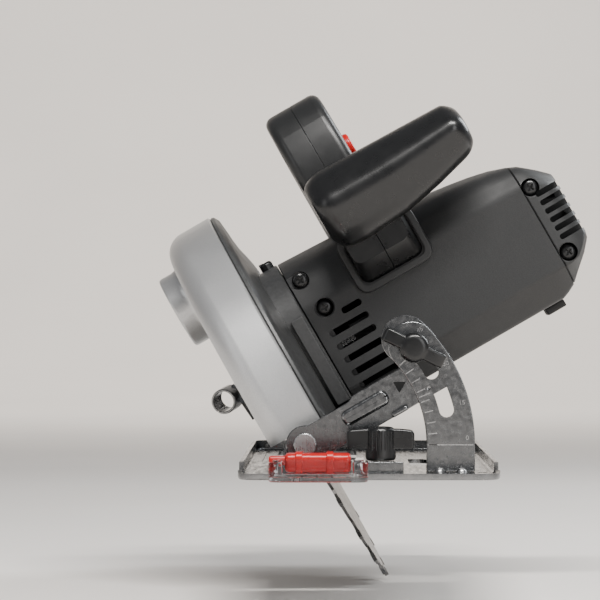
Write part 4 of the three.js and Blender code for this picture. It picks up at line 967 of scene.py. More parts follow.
class Guards(Assembly):
    """The fixed blade guard, the swinging guard, its lever and the blade."""

    def build(self) -> None:
        """Makes the pieces."""
        self.blade_guard()
        self.lower_guard()
        self.lever()
        self.blade()

    def blade_guard(self) -> None:
        """The cast guard: a drum with a soft outer shoulder and the dust stub."""
        y, v = SIZE.spindle
        out, inn, wall = SIZE.guard_out, SIZE.guard_in, SIZE.wall
        rim, soft = SIZE.guard_r, 10.5
        outer = [(along, radius) for radius, along in arc((rim - soft, out + soft), soft, 0, -90, 10)]
        inner = [(along, radius) for radius, along in
                 arc((rim - soft, out + soft), soft - wall, -90, 0, 6)]
        profile = [(inn, rim - wall), (inn, rim - 0.8), (inn - 0.8, rim), *outer,
                   (out, 30.6), (out + 0.6, 30), (out + wall, 30), *inner]
        drum = Form.turned(profile, Axis.X, (0, y, v), 180)
        upper = box_form((out - 2, inn + 2), (y - rim - 2, y + rim + 2), (SIZE.edge_v, v + rim + 2), 0)
        port_y, port_v = SIZE.port
        r, end = SIZE.port_r, SIZE.port_end
        stub = Form.turned([(end, 0), (end, r - 1.4), (end + 0.4, r - 0.5), (end + 1.3, r),
                            (out - 4.5, r), (out - 2.4, r + 0.5), (out - 1.0, r + 1.6),
                            (out + 0.3, r + 3.4), (out + 1.2, r + 3.4), (out + 1.2, 0)],
                           Axis.X, (0, port_y, port_v), 96)
        bore = Form.turned([(end - 1, 0), (end - 1, r - 2.2), (end + 0.2, r - 2.6),
                            (end + 1, r - 3), (out + wall + 1, r - 3.6), (out + wall + 1, 0)],
                           Axis.X, (0, port_y, port_v), 96)
        form = drum.within(upper).plus(stub).less(bore)
        self.head("blade_guard_skin", form, Slot.SILVER, ("blade_guard",), bevel=0.5, smooth=32,
                  edge=50)

    def lower_guard(self) -> None:
        """The pressed guard that swings about the blade, shown held back."""
        y, v = SIZE.spindle
        out, inn, sheet, rim, bore = -8.0, 6.8, 1.2, SIZE.lower_r, 17.4
        corners = [(inn, bore), (inn, rim - 4), (inn - 1.2, rim - 1.2), (inn - 4, rim),
                   (out + 4, rim), (out + 1.2, rim - 1.2), (out, rim - 4), (out, bore),
                   (out + sheet, bore), (out + sheet, rim - 4.4), (out + 2, rim - 2),
                   (out + 4.4, rim - sheet), (inn - 4.4, rim - sheet), (inn - 2, rim - 2),
                   (inn - sheet, rim - 4.4), (inn - sheet, bore)]
        drum = Form.turned(corners, Axis.X, (0, y, v), 160)
        wedge = [(y, v)] + arc((y, v), rim + 4, 342, 342 + 152, 40)
        keep = Form.slab(wedge, out - 1, inn + 1, Axis.X, 0, 1)
        form = drum.within(keep)
        for start in (out, inn - sheet):
            ring = Form.turned([(start, bore), (start, 25), (start + sheet, 25), (start + sheet, bore)],
                               Axis.X, (0, y, v), 72)
            form = form.plus(ring)
        self.head("lower_guard_skin", form, Slot.ZINC, ("lower_guard",), "lower_guard",
                  bevel=0.3, smooth=30, edge=50)

    def lever(self) -> None:
        """The thumb lever: a rolled tube on a strap, its seam left open."""
        y, v = SIZE.spindle
        strap = Form.of_node("guard_lever")
        turn = Matrix.Rotation(math.radians(-14), 4, "Z")
        place = HEAD.matrix @ Matrix.Translation((-23.4, y - 40, v + 20.5)) @ turn
        half, outside, inside = 8.0, 6.0, 4.8
        tube = Form.turned([(-half, inside + 0.3), (-half + 0.2, inside + 0.05), (-half + 0.9, inside),
                            (half - 0.6, inside), (half, inside + 0.5), (half, outside - 0.5),
                            (half - 0.5, outside), (-half + 0.9, outside), (-half + 0.2, outside - 0.25),
                            (-half, outside - 0.5)], Axis.Y, (0, 0, 0), 72)
        cleared = Form.rod(outside + 0.02, -half - 1, half + 1, Axis.Y, (0, 0, 0), 72).moved(place)
        seam = box_form((-0.25, 0.25), (-half - 1, half + 1), (-outside - 1, -inside + 1), 0)
        rolled = tube.less(seam.moved(Matrix.Rotation(math.radians(60), 4, "Y"))).moved(place)
        form = strap.less(cleared).with_parts(rolled)
        self.bench.piece("guard_lever_skin", form, "lower_guard", Slot.ZINC, nodes=("guard_lever",),
                         bevel=0.2, smooth=35, edge=50)

    def blade(self) -> None:
        """The blade: gulleted teeth with carbide tips and expansion slots."""
        y, v = SIZE.spindle
        teeth, radius, out, inn = 24, 92.5, -1.3, 0.1
        pitch = 360 / teeth
        shape: Shape = []
        for tooth in range(teeth):
            at = tooth * pitch
            for r, share in ((radius - 4.2, 0.0), (radius - 0.7, 0.04), (radius - 1.5, 0.34),
                             (radius - 3.6, 0.62), (radius - 6.6, 0.78), (radius - 7.6, 0.88),
                             (radius - 6.8, 0.97)):
                shape.append(arc((y, v), r, at + share * pitch, 0, 1)[0])
        plate = Form.slab(shape, out, inn, Axis.X, 0, 1)
        arbor = Form.rod(8.3, out - 1, inn + 1, Axis.X, (0, y, v), 48)
        slot = Form.slab([(radius - 26, -0.35), (radius - 4, -0.35), (radius - 4, 0.35),
                          (radius - 26, 0.35)], out - 1, inn + 1, Axis.X, 0, 1)
        hole = Form.rod(2, out - 1, inn + 1, Axis.X, (0, radius - 27, 0), 20)
        cuts = self.repeat.around(slot.with_parts(hole), 6, 60, (1, 0, 0), (0, y, v))
        tip = Form.slab(rounded([(radius - 4.4, 0.2, 0.3), (radius, 0.6, 0.2), (radius - 0.6, 3.2, 0.4),
                                 (radius - 4.2, 2.2, 0.3)], 2), out - 0.25, inn + 0.25, Axis.X, 0.1, 1)
        tips = self.repeat.around(tip, teeth, pitch, (1, 0, 0), (0, y, v))
        form = plate.less(arbor).less(cuts).with_parts(tips)
        self.head("saw_blade_skin", form, Slot.BLADE, ("saw_blade",), "spindle", smooth=25)


class Drive(Assembly):
    """The black gear case and what sits on it."""

    def build(self) -> None:
        """Makes the pieces."""
        y, v = SIZE.spindle
        rim, dome = SIZE.guard_r, SIZE.dome
        skirt = 3.0
        profile = [(11.6, rim - 4.5), (11.6, rim - 1.2), (12.2, rim - 0.7), (13.4, rim - 1.2),
                   (14.8, rim - 3.6), (15.3, rim - 9), (15.6, rim - 14), (16.4, rim - 20),
                   (17.6, rim - 25), (18.7, rim - 30), (dome, rim - 35), (dome, 1), (dome - skirt, 1),
                   (dome - skirt, rim - 37), (12.6, rim - 15)]
        shell = Form.turned(profile, Axis.X, (0, y, v), 180)
        upper = box_form((10, 22), (y - rim, y + rim), (SIZE.edge_v, v + rim), 0)
        form = shell.within(upper)
        lobes = [(y - 25, v + 30, 34.4), (y - 37, v + 4, 22.0), (y, v, 22.0)]
        for centre_y, centre_v, radius in lobes:
            form = form.plus(Form.turned([(dome - skirt, 0), (dome - skirt, radius),
                                          (SIZE.case_end - 0.6, radius), (SIZE.case_end, radius - 0.6),
                                          (SIZE.case_end, 0)], Axis.X, (0, centre_y, centre_v), 96))
        middle = [(y - 37, v + 4 - 22), (y, v - 22), (y + 22, v), (y + 9.4, v + 30),
                  (y - 59.4, v + 30), (y - 59, v + 4)]
        form = form.plus(Form.slab(middle, dome - skirt, SIZE.case_end, Axis.X, 0, 1))
        form = form.plus(Form.turned([(4.3, 0), (4.3, 16.6), (4.7, 17), (dome, 17), (dome, 0)],
                                     Axis.X, (0, y, v), 72))
        strip = Form.slab(box_shape(20.8, 6.2, 27.2, 51, 0.8, 3), y - 62.6, y - 50, Axis.Y, 0.6, 2)
        form = form.plus(strip)
        form = form.plus(Form.slab(box_shape(17, -9.1, 28, 5, 1.5, 3), -62, y - 50, Axis.Y, 0.5, 2))
        form = form.plus(Form.rod(5.6, 15.8, 43.2, Axis.X, (0, *SOLE.hinge), 48))
        form = form.plus(box_form((16, 19.6), (52.3, 68.3), (-3.7, 15.3), 0.4))
        form = form.plus(Form.rod(7.5, 16, 19.6, Axis.X, (0, 68.3, 3.3), 40))
        cuts = [
            Form.turned([(3.3, 0), (3.3, 8.5), (7.1, 8.5), (7.1, 13.3), (20.2, 13.3), (20.2, 0)],
                        Axis.X, (0, y, v), 64),
            Form.rod(3.3, 0, 60, Axis.X, (0, *SOLE.hinge), 24),
            Form.rod(3.1, 0, 30, Axis.X, (0, 68.3, 3.3), 24),
            Form.rod(3.5, 69, 87, Axis.Z, (24, 10, 0), 24),
        ]
        for cut in cuts:
            form = form.less(cut)
        chamber = Form.rod(31.9, dome, SIZE.case_end + 1, Axis.X, (0, y - 25, v + 30), 64)
        for centre_y, centre_v, radius in lobes[1:]:
            room = Form.rod(radius - 2.5, dome, SIZE.case_end + 1, Axis.X, (0, centre_y, centre_v), 64)
            chamber = chamber.plus(room)
        form = form.less(chamber)
        self.head("gear_case_skin", form, Slot.CAST, ("gear_case",), bevel=0.5, smooth=32, edge=40)
        self.bench.refined("depth_lever", "depth_lever", Slot.SATIN, 0.6)
        self.bench.refined("spindle_lock_button", "spindle_lock_button", Slot.SATIN, 0.3)
        self.bench.refined("arc_clamp_bolt", "head", Slot.STEEL, 0.3)


class Motor(Assembly):
    """The motor housing, its end cap, vents, screws and rear foot."""

    SCREWS = {"front_screw_1": (34.6, 66.0), "front_screw_2": (38.2, 49.2),
              "rear_screw_1": (150.3, 49.8), "rear_screw_2": (150.8, 14.5)}

    @staticmethod
    def section(h: float, draw: float = 0.0, wall: float = 0.0) -> Ring:
        """The housing's cross-section: flat front, chamfered foot and a soft crown.

        Args:
            h: where the section lies along the spindle.
            draw: how far the section is drawn in, for the end cap's taper.
            wall: how far it is inside the skin.

        Returns:
            The section's points.
        """
        y0, y1 = SIZE.y0 + draw, SIZE.y1 - draw
        foot, crown = SIZE.foot_at(h) + min(draw, 0.6), SIZE.top_at(h) - min(draw, 0.6)
        shoulder = min(52.7, crown - 9)
        corners = [(y0, max(9.6, foot + 3.4), 1.2), (y0 + 11.5, foot, 2.0), (y1 - 12, foot, 3.0),
                   (y1, foot + 13, 3.0), (y1, crown - 22, 10.0), (y1 - 20, crown, 14.0),
                   (y0 + 30, crown, 15.0), (y0 + 6.5, (crown + shoulder) / 2 + 4.5, 9.0),
                   (y0, shoulder, 2.5)]
        shape = drawn_in(rounded(corners, 5), wall) if wall else rounded(corners, 5)
        return [Vector((h, y, v)) for y, v in shape]

    def wells(self, names: Sequence[str], radius: float, deep: float) -> Form:
        """The screw wells as one tool."""
        well = Form.turned([(-6, 0), (-6, radius + 1), (0.0, radius + 0.7), (0.5, radius + 0.15),
                            (1.2, radius), (deep, radius), (deep, 0)], Axis.Y, (0, 0, 0), 40)
        places = [(h, SIZE.y0, v) for h, v in (self.SCREWS[name] for name in names)]
        return self.repeat.at(well, places)

    def slots(self, h0: float, h1: float, first: float, step: float, count: int, wide: float,
              y: Point) -> Form:
        """A stack of round-ended slots as one tool."""
        shape = box_shape(h0, first - wide / 2, h1, first + wide / 2, wide / 2, 5)
        seed = Form.slab(shape, y[0], y[1], Axis.Y, 0, 1)
        return self.repeat.along(seed, count, (0, 0, step))

    def build(self) -> None:
        """Makes the pieces."""
        self.housing()
        self.cap()
        self.screws()
        self.foot()

    def housing(self) -> None:
        """The housing: a hollow shell with vents, wells and the rim that holds the neck."""
        start, end = SIZE.case_end + 0.3, SIZE.housing_end
        places = [start + 0.5, *(start + 10 * i for i in range(1, 11)), 133.0, 138.5, 142.0, end]
        outside = Form.skin([self.section(start, 0.5)] + [self.section(h) for h in places])
        inside = Form.skin([self.section(h, 0, 2.5) for h in (start - 1, start + 60, 138, end + 1)])
        form = outside.less(inside)
        rim = box_shape(56.2, 44.2, 96.4, 73.0, 6.5, 6)
        mouth = box_shape(59.2, 47.4, 93.4, 70.2, 4.6, 6)
        band = Form.slab(rim, SIZE.y0 - 3.0, SIZE.y0 + 9, Axis.Y, 1.1, 3)
        well = Form.slab(mouth, SIZE.y0 - 4.0, SIZE.y0 - 0.8, Axis.Y, 0, 1)
        form = form.plus(band).less(well)
        vents = self.slots(34, 54.8, 8.6, 7.0, 5, 3.2, (SIZE.y0 - 3, SIZE.y0 + 5))
        short = self.slots(44.4, 54.8, 43.4, 0, 1, 3.2, (SIZE.y0 - 3, SIZE.y0 + 5))
        back = self.slots(66, 87, 8.6, 7.0, 5, 3.2, (SIZE.y1 - 5, SIZE.y1 + 3))
        form = form.less(vents, short, back)
        form = form.less(self.wells(("front_screw_1", "front_screw_2"), 4.3, 22))
        self.head("motor_housing_skin", form, Slot.HOUSING, ("motor_housing",), bevel=0.5,
                  smooth=33, edge=42)

    def cap(self) -> None:
        """The end cap: a tapered cup with cooling fins on both sides."""
        start, end = SIZE.housing_end + 0.3, SIZE.cap_end
        outside = Form.skin([self.section(start, 0.5), self.section(start + 0.6),
                             self.section(start + 4, 0.2), self.section(start + 8, 0.8),
                             self.section(end - 5, 2.6), self.section(end - 1.4, 5.2),
                             self.section(end, 7.6)])
        inside = Form.skin([self.section(start + 2.5, 0.0, 2.5), self.section(start + 8, 0.8, 2.5),
                            self.section(end - 3.5, 4.6, 2.5)])
        form = outside.less(inside)
        row = (SIZE.housing_end + 4.6, end + 3, 22.2, 4.6, 6, 2.7)
        fins = self.slots(*row, (SIZE.y0 - 3, SIZE.y0 + 17))
        back = self.slots(*row, (SIZE.y1 - 17, SIZE.y1 + 3))
        bearing = Form.rod(9.8, start - 1, start + 4, Axis.X, (0, *SIZE.motor), 48)
        form = form.less(fins, back).less(bearing)
        form = form.less(self.wells(("rear_screw_1", "rear_screw_2"), 4.3, 22))
        self.head("end_cap_skin", form, Slot.HOUSING, ("end_cap",), bevel=0.45, smooth=33, edge=42)

    def screws(self) -> None:
        """Pan-head case screws with a cross recess, each in its well."""
        for name, (h, v) in self.SCREWS.items():
            face = SIZE.y0 + 2.3
            head = Form.turned([(0, 0), (0, 1.9), (0.25, 2.9), (0.8, 3.6), (1.5, 3.9), (2.6, 3.9),
                                (2.6, 0)], Axis.Y, (h, face, v), 48)
            cross = box_form((-2.0, 2.0), (-1, 1.5), (-0.45, 0.45), 0.1, 1)
            cross = cross.plus(box_form((-0.45, 0.45), (-1, 1.5), (-2.0, 2.0), 0.1, 1))
            turn = Matrix.Translation((h, face, v)) @ Matrix.Rotation(math.radians(h * 7 % 90), 4, "Y")
            form = head.less(cross.moved(turn))
            self.head(f"{name}_skin", form, Slot.SATIN, (name,), bevel=0.12, smooth=30, edge=40)

    def foot(self) -> None:
        """The rubber foot that the saw rests on."""
        y = SIZE.motor[0]
        form = Form.slab(box_shape(y - 10, SIZE.v0 - 3.9, y + 10, SIZE.v0 - 0.3, 1.2, 4),
                         128.9, 138.9, Axis.X, 0.7, 3)
        self.head("rest_foot_skin", form, Slot.RUBBER, ("rest_foot",), smooth=40)


class Handles(Assembly):
    """Both handles, the trigger and the red lock-off button."""

    def outline(self) -> list[Corner]:
        """The main handle's side, as (y, v, round) corners."""
        rear = SIZE.y1
        return [(rear + 1, 8, 7), (rear + 71, 16, 17), (rear + 85, 44, 16), (rear + 80, 78, 22),
                (rear + 58, 116, 26), (rear - 4, 142, 22), (rear - 38, 142, 16), (rear - 52, 116, 16),
                (rear - 52, 77.5, 7), (rear - 20, 77.5, 7), (rear - 14, 100, 12), (rear - 2, 108, 12),
                (rear + 38, 90, 14), (rear + 54, 64, 12), (rear + 50, 44, 12), (rear + 30, 36, 8),
                (rear + 1, 34, 7)]

    def build(self) -> None:
        """Makes the pieces."""
        self.halves()
        self.auxiliary()
        self.controls()

    def halves(self) -> None:
        """The two shells, hollow, rounded outside and square at their parting line."""
        h0, h1 = SIZE.handle
        split = (h0 + h1) / 2
        shape = rounded(self.outline(), 8)
        rear = SIZE.y1
        mouth = box_form((split - 8, split + 8), (rear - 2, rear + 26), (88, 114), 0)
        mouth_again = box_form((split - 8, split + 8), (rear - 2, rear + 26), (88, 114), 0)
        gland = [Form.rod(6.8, 120, 141, Axis.Y, (split, 0, 28), 40) for _ in range(2)]
        left = Form.slab(shape, h0, split - 0.06, Axis.X, 4.4, 5, soft_end=0.2)
        left_core = Form.slab(drawn_in(shape, 3), h0 + 3, split + 1, Axis.X, 3, 3, soft_end=0)
        self.head("handle_left_skin", left.less(left_core).less(mouth, gland[0]), Slot.HANDLE,
                  ("handle_left",), smooth=36)
        right = Form.slab(shape, split + 0.06, h1, Axis.X, 0.2, 5, soft_end=4.4)
        right_core = Form.slab(drawn_in(shape, 3), split - 1, h1 - 3, Axis.X, 0, 3, soft_end=3)
        button = Form.rod(6.4, h1 - 12, h1 + 2, Axis.X, (0, rear - 22, 111.4), 40)
        self.head("handle_right_skin", right.less(right_core).less(mouth_again, gland[1], button),
                  Slot.HANDLE, ("handle_right",), smooth=36)

    def auxiliary(self) -> None:
        """The front handle: a long pillow with a straight top, on a neck with a parting line."""
        h0, h1, top = 56.9, 137.2, SIZE.grip_top
        y0, y1 = SIZE.motor[0] - 76, SIZE.motor[0] - 37
        belly = ((0.0, 70.5), (0.06, 67.6), (0.18, 66.8), (0.46, 68.2), (0.7, 72.0), (0.9, 76.2),
                 (1.0, 78.6))
        roof = ((0.0, top - 1.2), (0.12, top), (0.93, top - 1.6), (1.0, top - 4.0))
        rings = []
        steps = 52
        for i in range(steps + 1):
            share = 0.5 - 0.5 * math.cos(math.pi * i / steps)
            h = h0 + (h1 - h0) * share
            near, far = min(1.0, (h - h0) / 8.5), min(1.0, (h1 - h) / 7.0)
            grow = 7.6 * (1 - math.sqrt(1 - (1 - near) ** 2)) + 6.4 * (1 - math.sqrt(1 - (1 - far) ** 2))
            floor = along_line(belly, share) + grow * 0.75
            ceiling = along_line(roof, share) - grow * 0.62
            ridge = floor + (ceiling - floor) * 0.6
            corner = [(y0 + grow, ridge, 7.0), (y0 + grow + 8.5, floor, 9.0),
                      (y1 - grow - 7, floor, 8.0), (y1 - grow, floor + 8, 7.0),
                      (y1 - grow, ceiling - 7, 7.0), (y1 - grow - 7, ceiling, 6.0),
                      (y0 + grow + 15, ceiling, 7.0)]
            rings.append([Vector((h, y, v)) for y, v in rounded(corner, 5)])
        grip = Form.skin(rings)
        neck_rings = []
        for y, a, b, c, d in ((SIZE.y0 - 0.9, 60, 92.6, 48.2, 69.4),
                              (SIZE.y0 - 6, 60.4, 91.6, 50, 76), (SIZE.y0 - 17, 61, 90, 58, 90)):
            neck_rings.append([Vector((x, y, z)) for x, z in box_shape(a, c, b, d, 5, 6)])
        neck = Form.skin(neck_rings)
        form = grip.plus(neck)
        groove = Form.slab([(76.0, 46), (76.35, 46), (76.35, 76), (76.0, 76)], SIZE.y0 - 26,
                           SIZE.y0 + 1, Axis.Y, 0, 1)
        form = form.less(groove)
        self.head("aux_handle_skin", form, Slot.SATIN, ("aux_handle",), smooth=40)

    def controls(self) -> None:
        """The trigger and the lock-off button."""
        h1 = SIZE.handle[1]
        rear = SIZE.y1
        split = sum(SIZE.handle) / 2
        shape = rounded([(rear - 1, 96, 3), (rear + 7, 96, 4), (rear + 21, 92, 5),
                         (rear + 22, 106, 2), (rear - 1, 112, 3)], 5)
        trigger = Form.slab(shape, split - 7, split + 7, Axis.X, 1.6, 4)
        self.head("trigger_skin", trigger, Slot.SATIN, ("trigger",), "trigger", smooth=40)
        button = Form.turned([(h1 - 8, 0), (h1 - 8, 6), (h1 + 1.6, 6), (h1 + 2.4, 5.7),
                              (h1 + 2.9, 5.0), (h1 + 3.0, 4.2), (h1 + 2.7, 0)], Axis.X,
                             (0, rear - 22, 111.4), 56)
        rib = Form.slab([(-4, -0.35), (4, -0.35), (4, 0.35), (-4, 0.35)], h1 + 2.2, h1 + 3.0, Axis.X,
                        0, 1).moved(Matrix.Translation((0, rear - 22, 108.9)))
        ribs = self.repeat.along(rib, 3, (0, 0, 2.5))
        self.head("lock_off_button_skin", button.less(ribs), Slot.RED, ("lock_off_button",),
                  "lock_off_button", smooth=35)
        self.bench.refined("cord_gland", "head", Slot.RUBBER, 0.5)
        self.bench.refined("switch_body", "head", Slot.SATIN, 0.4)


class Bevel(Assembly):
    """The base, its bevel quadrant and clamp, the tilting bracket, and the sight window."""

    def build(self) -> None:
        """Makes the pieces."""
        self.base_plate()
        self.quadrant()
        self.bracket()
        self.depth_arc()
        self.knobs()
        self.sight()
        self.fittings()

    def base_plate(self) -> None:
        """The pressed base: a tray with upturned sides, rolled corners, slots and beads."""
        half, front, rear, sheet, lip = SOLE.half, SOLE.front, SOLE.rear, SOLE.sheet, SOLE.lip
        outer = Form.slab(box_shape(-half, front, half, rear, 9, 8), 0, lip, Axis.Z, 1.3, 4,
                          soft_end=0.5)
        tray = Form.slab(box_shape(-half + sheet, front + sheet, half - sheet, rear - sheet, 7, 8),
                         sheet, lip + 1, Axis.Z, 1.2, 3, soft_end=0)
        drop = Form.slab([(front - 1, 2.9), (front + 5, 2.9), (front + 30, lip),
                          (front + 30, lip + 1), (front - 1, lip + 1)], -half - 1, half + 1,
                         Axis.X, 0, 1)
        form = outer.less(tray).less(drop)
        window = Form.slab(box_shape(-44, -65, -4.5, 137, 5, 6), -1, sheet + 1, Axis.Z, 0, 1)
        slot = Form.slab(box_shape(20, -19, 29, 43, 4.4, 6), -1, sheet + 1, Axis.Z, 0, 1)
        notch = box_form((-half - 1, half + 1), (-113.3, -96.7), (sheet, lip + 2), 0)
        form = form.less(window).less(slot).less(notch)
        hole = Form.rod(2.5, -1, sheet + 1, Axis.Z, (0, 0, 0), 32)
        shank = Form.rod(2.3, -1, sheet + 1, Axis.Z, (0, 0, 0), 32)
        form = form.less(self.repeat.at(hole, [(30, -105, 0), (51, -93, 0), (46, 90, 0)]))
        form = form.less(self.repeat.at(shank, [(x, SOLE.rivet_y, 0) for x in SOLE.rivet_xs]))
        mark = box_form((-0.2, 0.2), (-4.5, 4.5), (-0.25, 0.25), 0)
        rows = self.repeat.along(mark, 9, (0, 12, 0)).moved(Matrix.Translation((-half + 8, 20, sheet)))
        form = form.less(rows)
        bead = Form.turned([(-54, 0), (-54, 0.6), (-52, 1.4), (52, 1.4), (54, 0.6), (54, 0)], Axis.Y,
                           (0, 0, 0), 24)
        flat = bead.moved(Matrix.Diagonal((1.6, 1, 0.5, 1)))
        ribs = self.repeat.at(flat, [(42, -20, sheet), (8, -20, sheet)])
        form = form.plus(ribs)
        self.bench.piece("base_plate_skin", form, "base", Slot.ZINC, nodes=("base_plate",),
                         bevel=0.35, smooth=32, edge=45)

    def numeral(self, text: str, size: float, place: Matrix) -> Form:
        """A raised generic numeral, as a mesh form."""
        curve = bpy.data.curves.new("numeral", "FONT")
        curve.body = text
        curve.size = size
        curve.extrude = 0.08
        curve.align_x = "CENTER"
        curve.align_y = "CENTER"
        made = bpy.data.objects.new("numeral", curve)
        bpy.context.scene.collection.objects.link(made)
        bpy.context.view_layer.update()
        graph = bpy.context.evaluated_depsgraph_get()
        mesh = bpy.data.meshes.new_from_object(made.evaluated_get(graph))
        bm = bmesh.new()
        bm.from_mesh(mesh)
        bpy.data.objects.remove(made)
        bpy.data.curves.remove(curve)
        bpy.data.meshes.remove(mesh)
        return Form(bm).moved(place)

    def quadrant(self) -> None:
        """The bevel quadrant: an arched plate with its slot, scale ticks, numerals and foot."""
        centre, r, half = SOLE.pivot, SOLE.arc_r, SOLE.arc_half
        front, back = SOLE.bracket_front - 2.5, SOLE.bracket_front - 0.3
        tip = arc(centre, r, 42.8, 0, 1)[0]
        shape = [(centre[0] + r - half, SOLE.foot_z), (centre[0] + r + half, SOLE.foot_z)]
        shape += arc(centre, r + half, 0, 42.8, 28)
        shape += arc(tip, half, 42.8, 222.8, 24)[1:]
        shape += arc(centre, r - half, 42.8, 0, 24)[1:]
        plate = Form.slab(shape, front, back, Axis.Y, 0.45, 3)
        slot_shape = curved_slot(centre, r, SOLE.slot_half, 13.8, SOLE.bolt_angle + 3, 20)
        form = plate.less(Form.slab(slot_shape, front - 1, back + 1, Axis.Y, 0, 1))
        foot = box_form((centre[0] + r - half, centre[0] + r + half), (front, back + 13),
                        (SOLE.foot_z, SOLE.foot_z + SOLE.plate), 0.4)
        form = form.plus(foot)
        hole = Form.rod(2.3, 0, 6, Axis.Z, (0, 0, 0), 32)
        form = form.less(self.repeat.at(hole, [(x, SOLE.rivet_y, 0) for x in SOLE.rivet_xs]))
        inner = r - half
        dimple = Form.turned([(-1, 0), (-1, 0.9), (0.35, 0.9), (0.6, 0)], Axis.Y,
                             (centre[0] + (inner + 6.6) * math.cos(math.radians(24.5)), front,
                              centre[1] + (inner + 6.6) * math.sin(math.radians(24.5))), 24)
        form = form.less(dimple)
        self.bench.piece("bevel_quadrant_skin", form, "base", Slot.ZINC, nodes=("bevel_quadrant",),
                         smooth=30)
        self.scale(centre, inner, inner + 2 * half, front)
        stake = Form.turned([(1.9, 0), (1.9, 2.3), (2.8, 2.1), (3.6, 1.3), (3.9, 0)], Axis.Z,
                            (0, 0, 0), 32)
        stakes = self.repeat.at(stake, [(x, front - 2.5, 0) for x in SOLE.rivet_xs])
        self.bench.piece("quadrant_stakes", stakes, "base", Slot.STEEL, smooth=40)
        for index, x in enumerate(SOLE.rivet_xs):
            rivet = Form.turned([(0.3, 0), (0.3, 2), (4.8, 2), (4.8, 3.5), (5.1, 3.7), (5.6, 3.5),
                                 (6.1, 2.6), (6.3, 1.2), (6.2, 0)], Axis.Z, (x, SOLE.rivet_y, 0), 40)
            self.bench.piece(f"quadrant_rivet_{index + 1}_skin", rivet, "base", Slot.STEEL,
                             nodes=(f"quadrant_rivet_{index + 1}",), smooth=40)

    def scale(self, centre: Point, inner: float, outer: float, front: float) -> None:
        """The stamped bevel scale: ticks, the zero line and generic numerals, barely proud."""
        place = (centre[0], front, centre[1])
        tick = box_form((inner + 0.9, inner + 5.0), (-0.07, 0.3), (-0.2, 0.2), 0)
        middle = box_form((inner + 0.9, inner + 6.4), (-0.07, 0.3), (-0.2, 0.2), 0)
        zero = box_form((inner + 0.7, outer - 0.7), (-0.07, 0.3), (-0.22, 0.22), 0)
        form = self.repeat.around(tick, 9, -5, (0, 1, 0), place)
        middle = middle.moved(Matrix.Rotation(math.radians(-22.5), 4, "Y"))
        form = form.with_parts(middle.moved(Matrix.Translation(place)),
                               zero.moved(Matrix.Translation(place)))
        stand = Matrix.Rotation(math.radians(90), 4, "X")
        for value in (0, 15, 30, 45):
            spot = arc(centre, outer - 3.4, value if value else 2.4, 0, 1)[0]
            turn = Matrix.Rotation(math.radians(-value * 0.6), 4, "Y")
            where = Matrix.Translation((spot[0], front, spot[1])) @ turn @ stand
            form = form.with_parts(self.numeral(str(value), 2.9, where))
        self.bench.piece("bevel_scale", form, "base", Slot.STEEL, smooth=30)

    def bracket(self) -> None:
        """The tilting bracket: web, arm with its slot, rolled rib, window, tab and fork ears."""
        r, half = SOLE.arc_r, SOLE.arc_half
        front, back = SOLE.bracket_front, SOLE.bracket_front + SOLE.plate
        reach = r - half + 3
        eye = Form.turned([(front, 0), (front, 8.2), (front + 0.4, 8.6), (back, 8.6), (back, 0)],
                          Axis.Y, (0, 0, 0), 72)
        web = Form.slab(rounded([(0, -7.6, 0), (10, -9.4, 3), (reach, -9.4, 2), (reach, 8.4, 0),
                                 (29, 8.4, 2), (27, 6.8, 2), (0, 6.8, 0)], 5), front, back, Axis.Y,
                        0.35, 2)
        arm_shape = arc((0, 0), r + half, 0, 16.4, 12)
        end = arc((0, 0), r, 16.4, 0, 1)
        arm_shape += arc(end[0], half, 16.4, 196.4, 22)[1:]
        arm_shape += arc((0, 0), r - half, 16.4, 0, 12)[1:]
        arm_shape += arc((r, 0), half, 180, 360, 22)[1:-1]
        arm = Form.slab(arm_shape, front, back, Axis.Y, 0.35, 2)
        heel = box_form((reach, r + half + 2), (front - 1, back + 1), (-13, -9.4), 0)
        form = web.plus(eye).plus(arm.less(heel))
        rib = Form.slab(box_shape(20, -2.9, 43.6, 4.3, 3.6, 8), front - 1.6, front + 1, Axis.Y, 1.5, 5,
                        soft_end=0)
        tab = box_form((40.4, 48.6), (front - 6, front + 1), (-9.4, -7.2), 0.7, 3)
        form = form.plus(rib).plus(tab)
        for h in (14.4, 44.6):
            ear = Form.slab(rounded([(front + 1, -9.1, 0.5), (-62, -9.1, 0.5), (-62, 2.5, 0.5),
                                     (front + 1, 2.5, 0.5)], 3), h - 1.1, h + 1.1, Axis.X, 0.3, 1)
            end_disc = Form.rod(6, h - 1.1, h + 1.1, Axis.X, (0, *SOLE.hinge), 48)
            form = form.plus(ear).plus(end_disc)
        bolt = SOLE.bolt_angle - SOLE.bevel
        slot_shape = curved_slot((0, 0), r, SOLE.slot_half, bolt - 12, bolt + 2, 10)
        form = form.less(Form.slab(slot_shape, front - 1, back + 1, Axis.Y, 0, 1))
        pointer = Form.slab(rounded([(48.4, 4.6, 0.6), (48.4, -1.2, 0.6), (53.6, 1.8, 0.5)], 3),
                            front - 1, back + 1, Axis.Y, 0, 1)
        pivot = Form.rod(3.5, front - 1, back + 1, Axis.Y, (0, 0, 0), 40)
        pin = Form.rod(3.3, 0, 60, Axis.X, (0, *SOLE.hinge), 32)
        form = form.less(pointer).less(pivot).less(pin)
        self.head("tilt_bracket_skin", form, Slot.ZINC, ("tilt_bracket",), "tilt_frame",
                  bevel=0.25, smooth=34, edge=50)
        self.bench.refined("depth_hinge_pin", "tilt_frame", Slot.STEEL, 0.3)

    def depth_arc(self) -> None:
        """The slotted depth arc behind the head, with its tail to the rear pivot."""
        self.bench.refined("depth_arc", "tilt_frame", Slot.ZINC, 0.3, smooth=40)

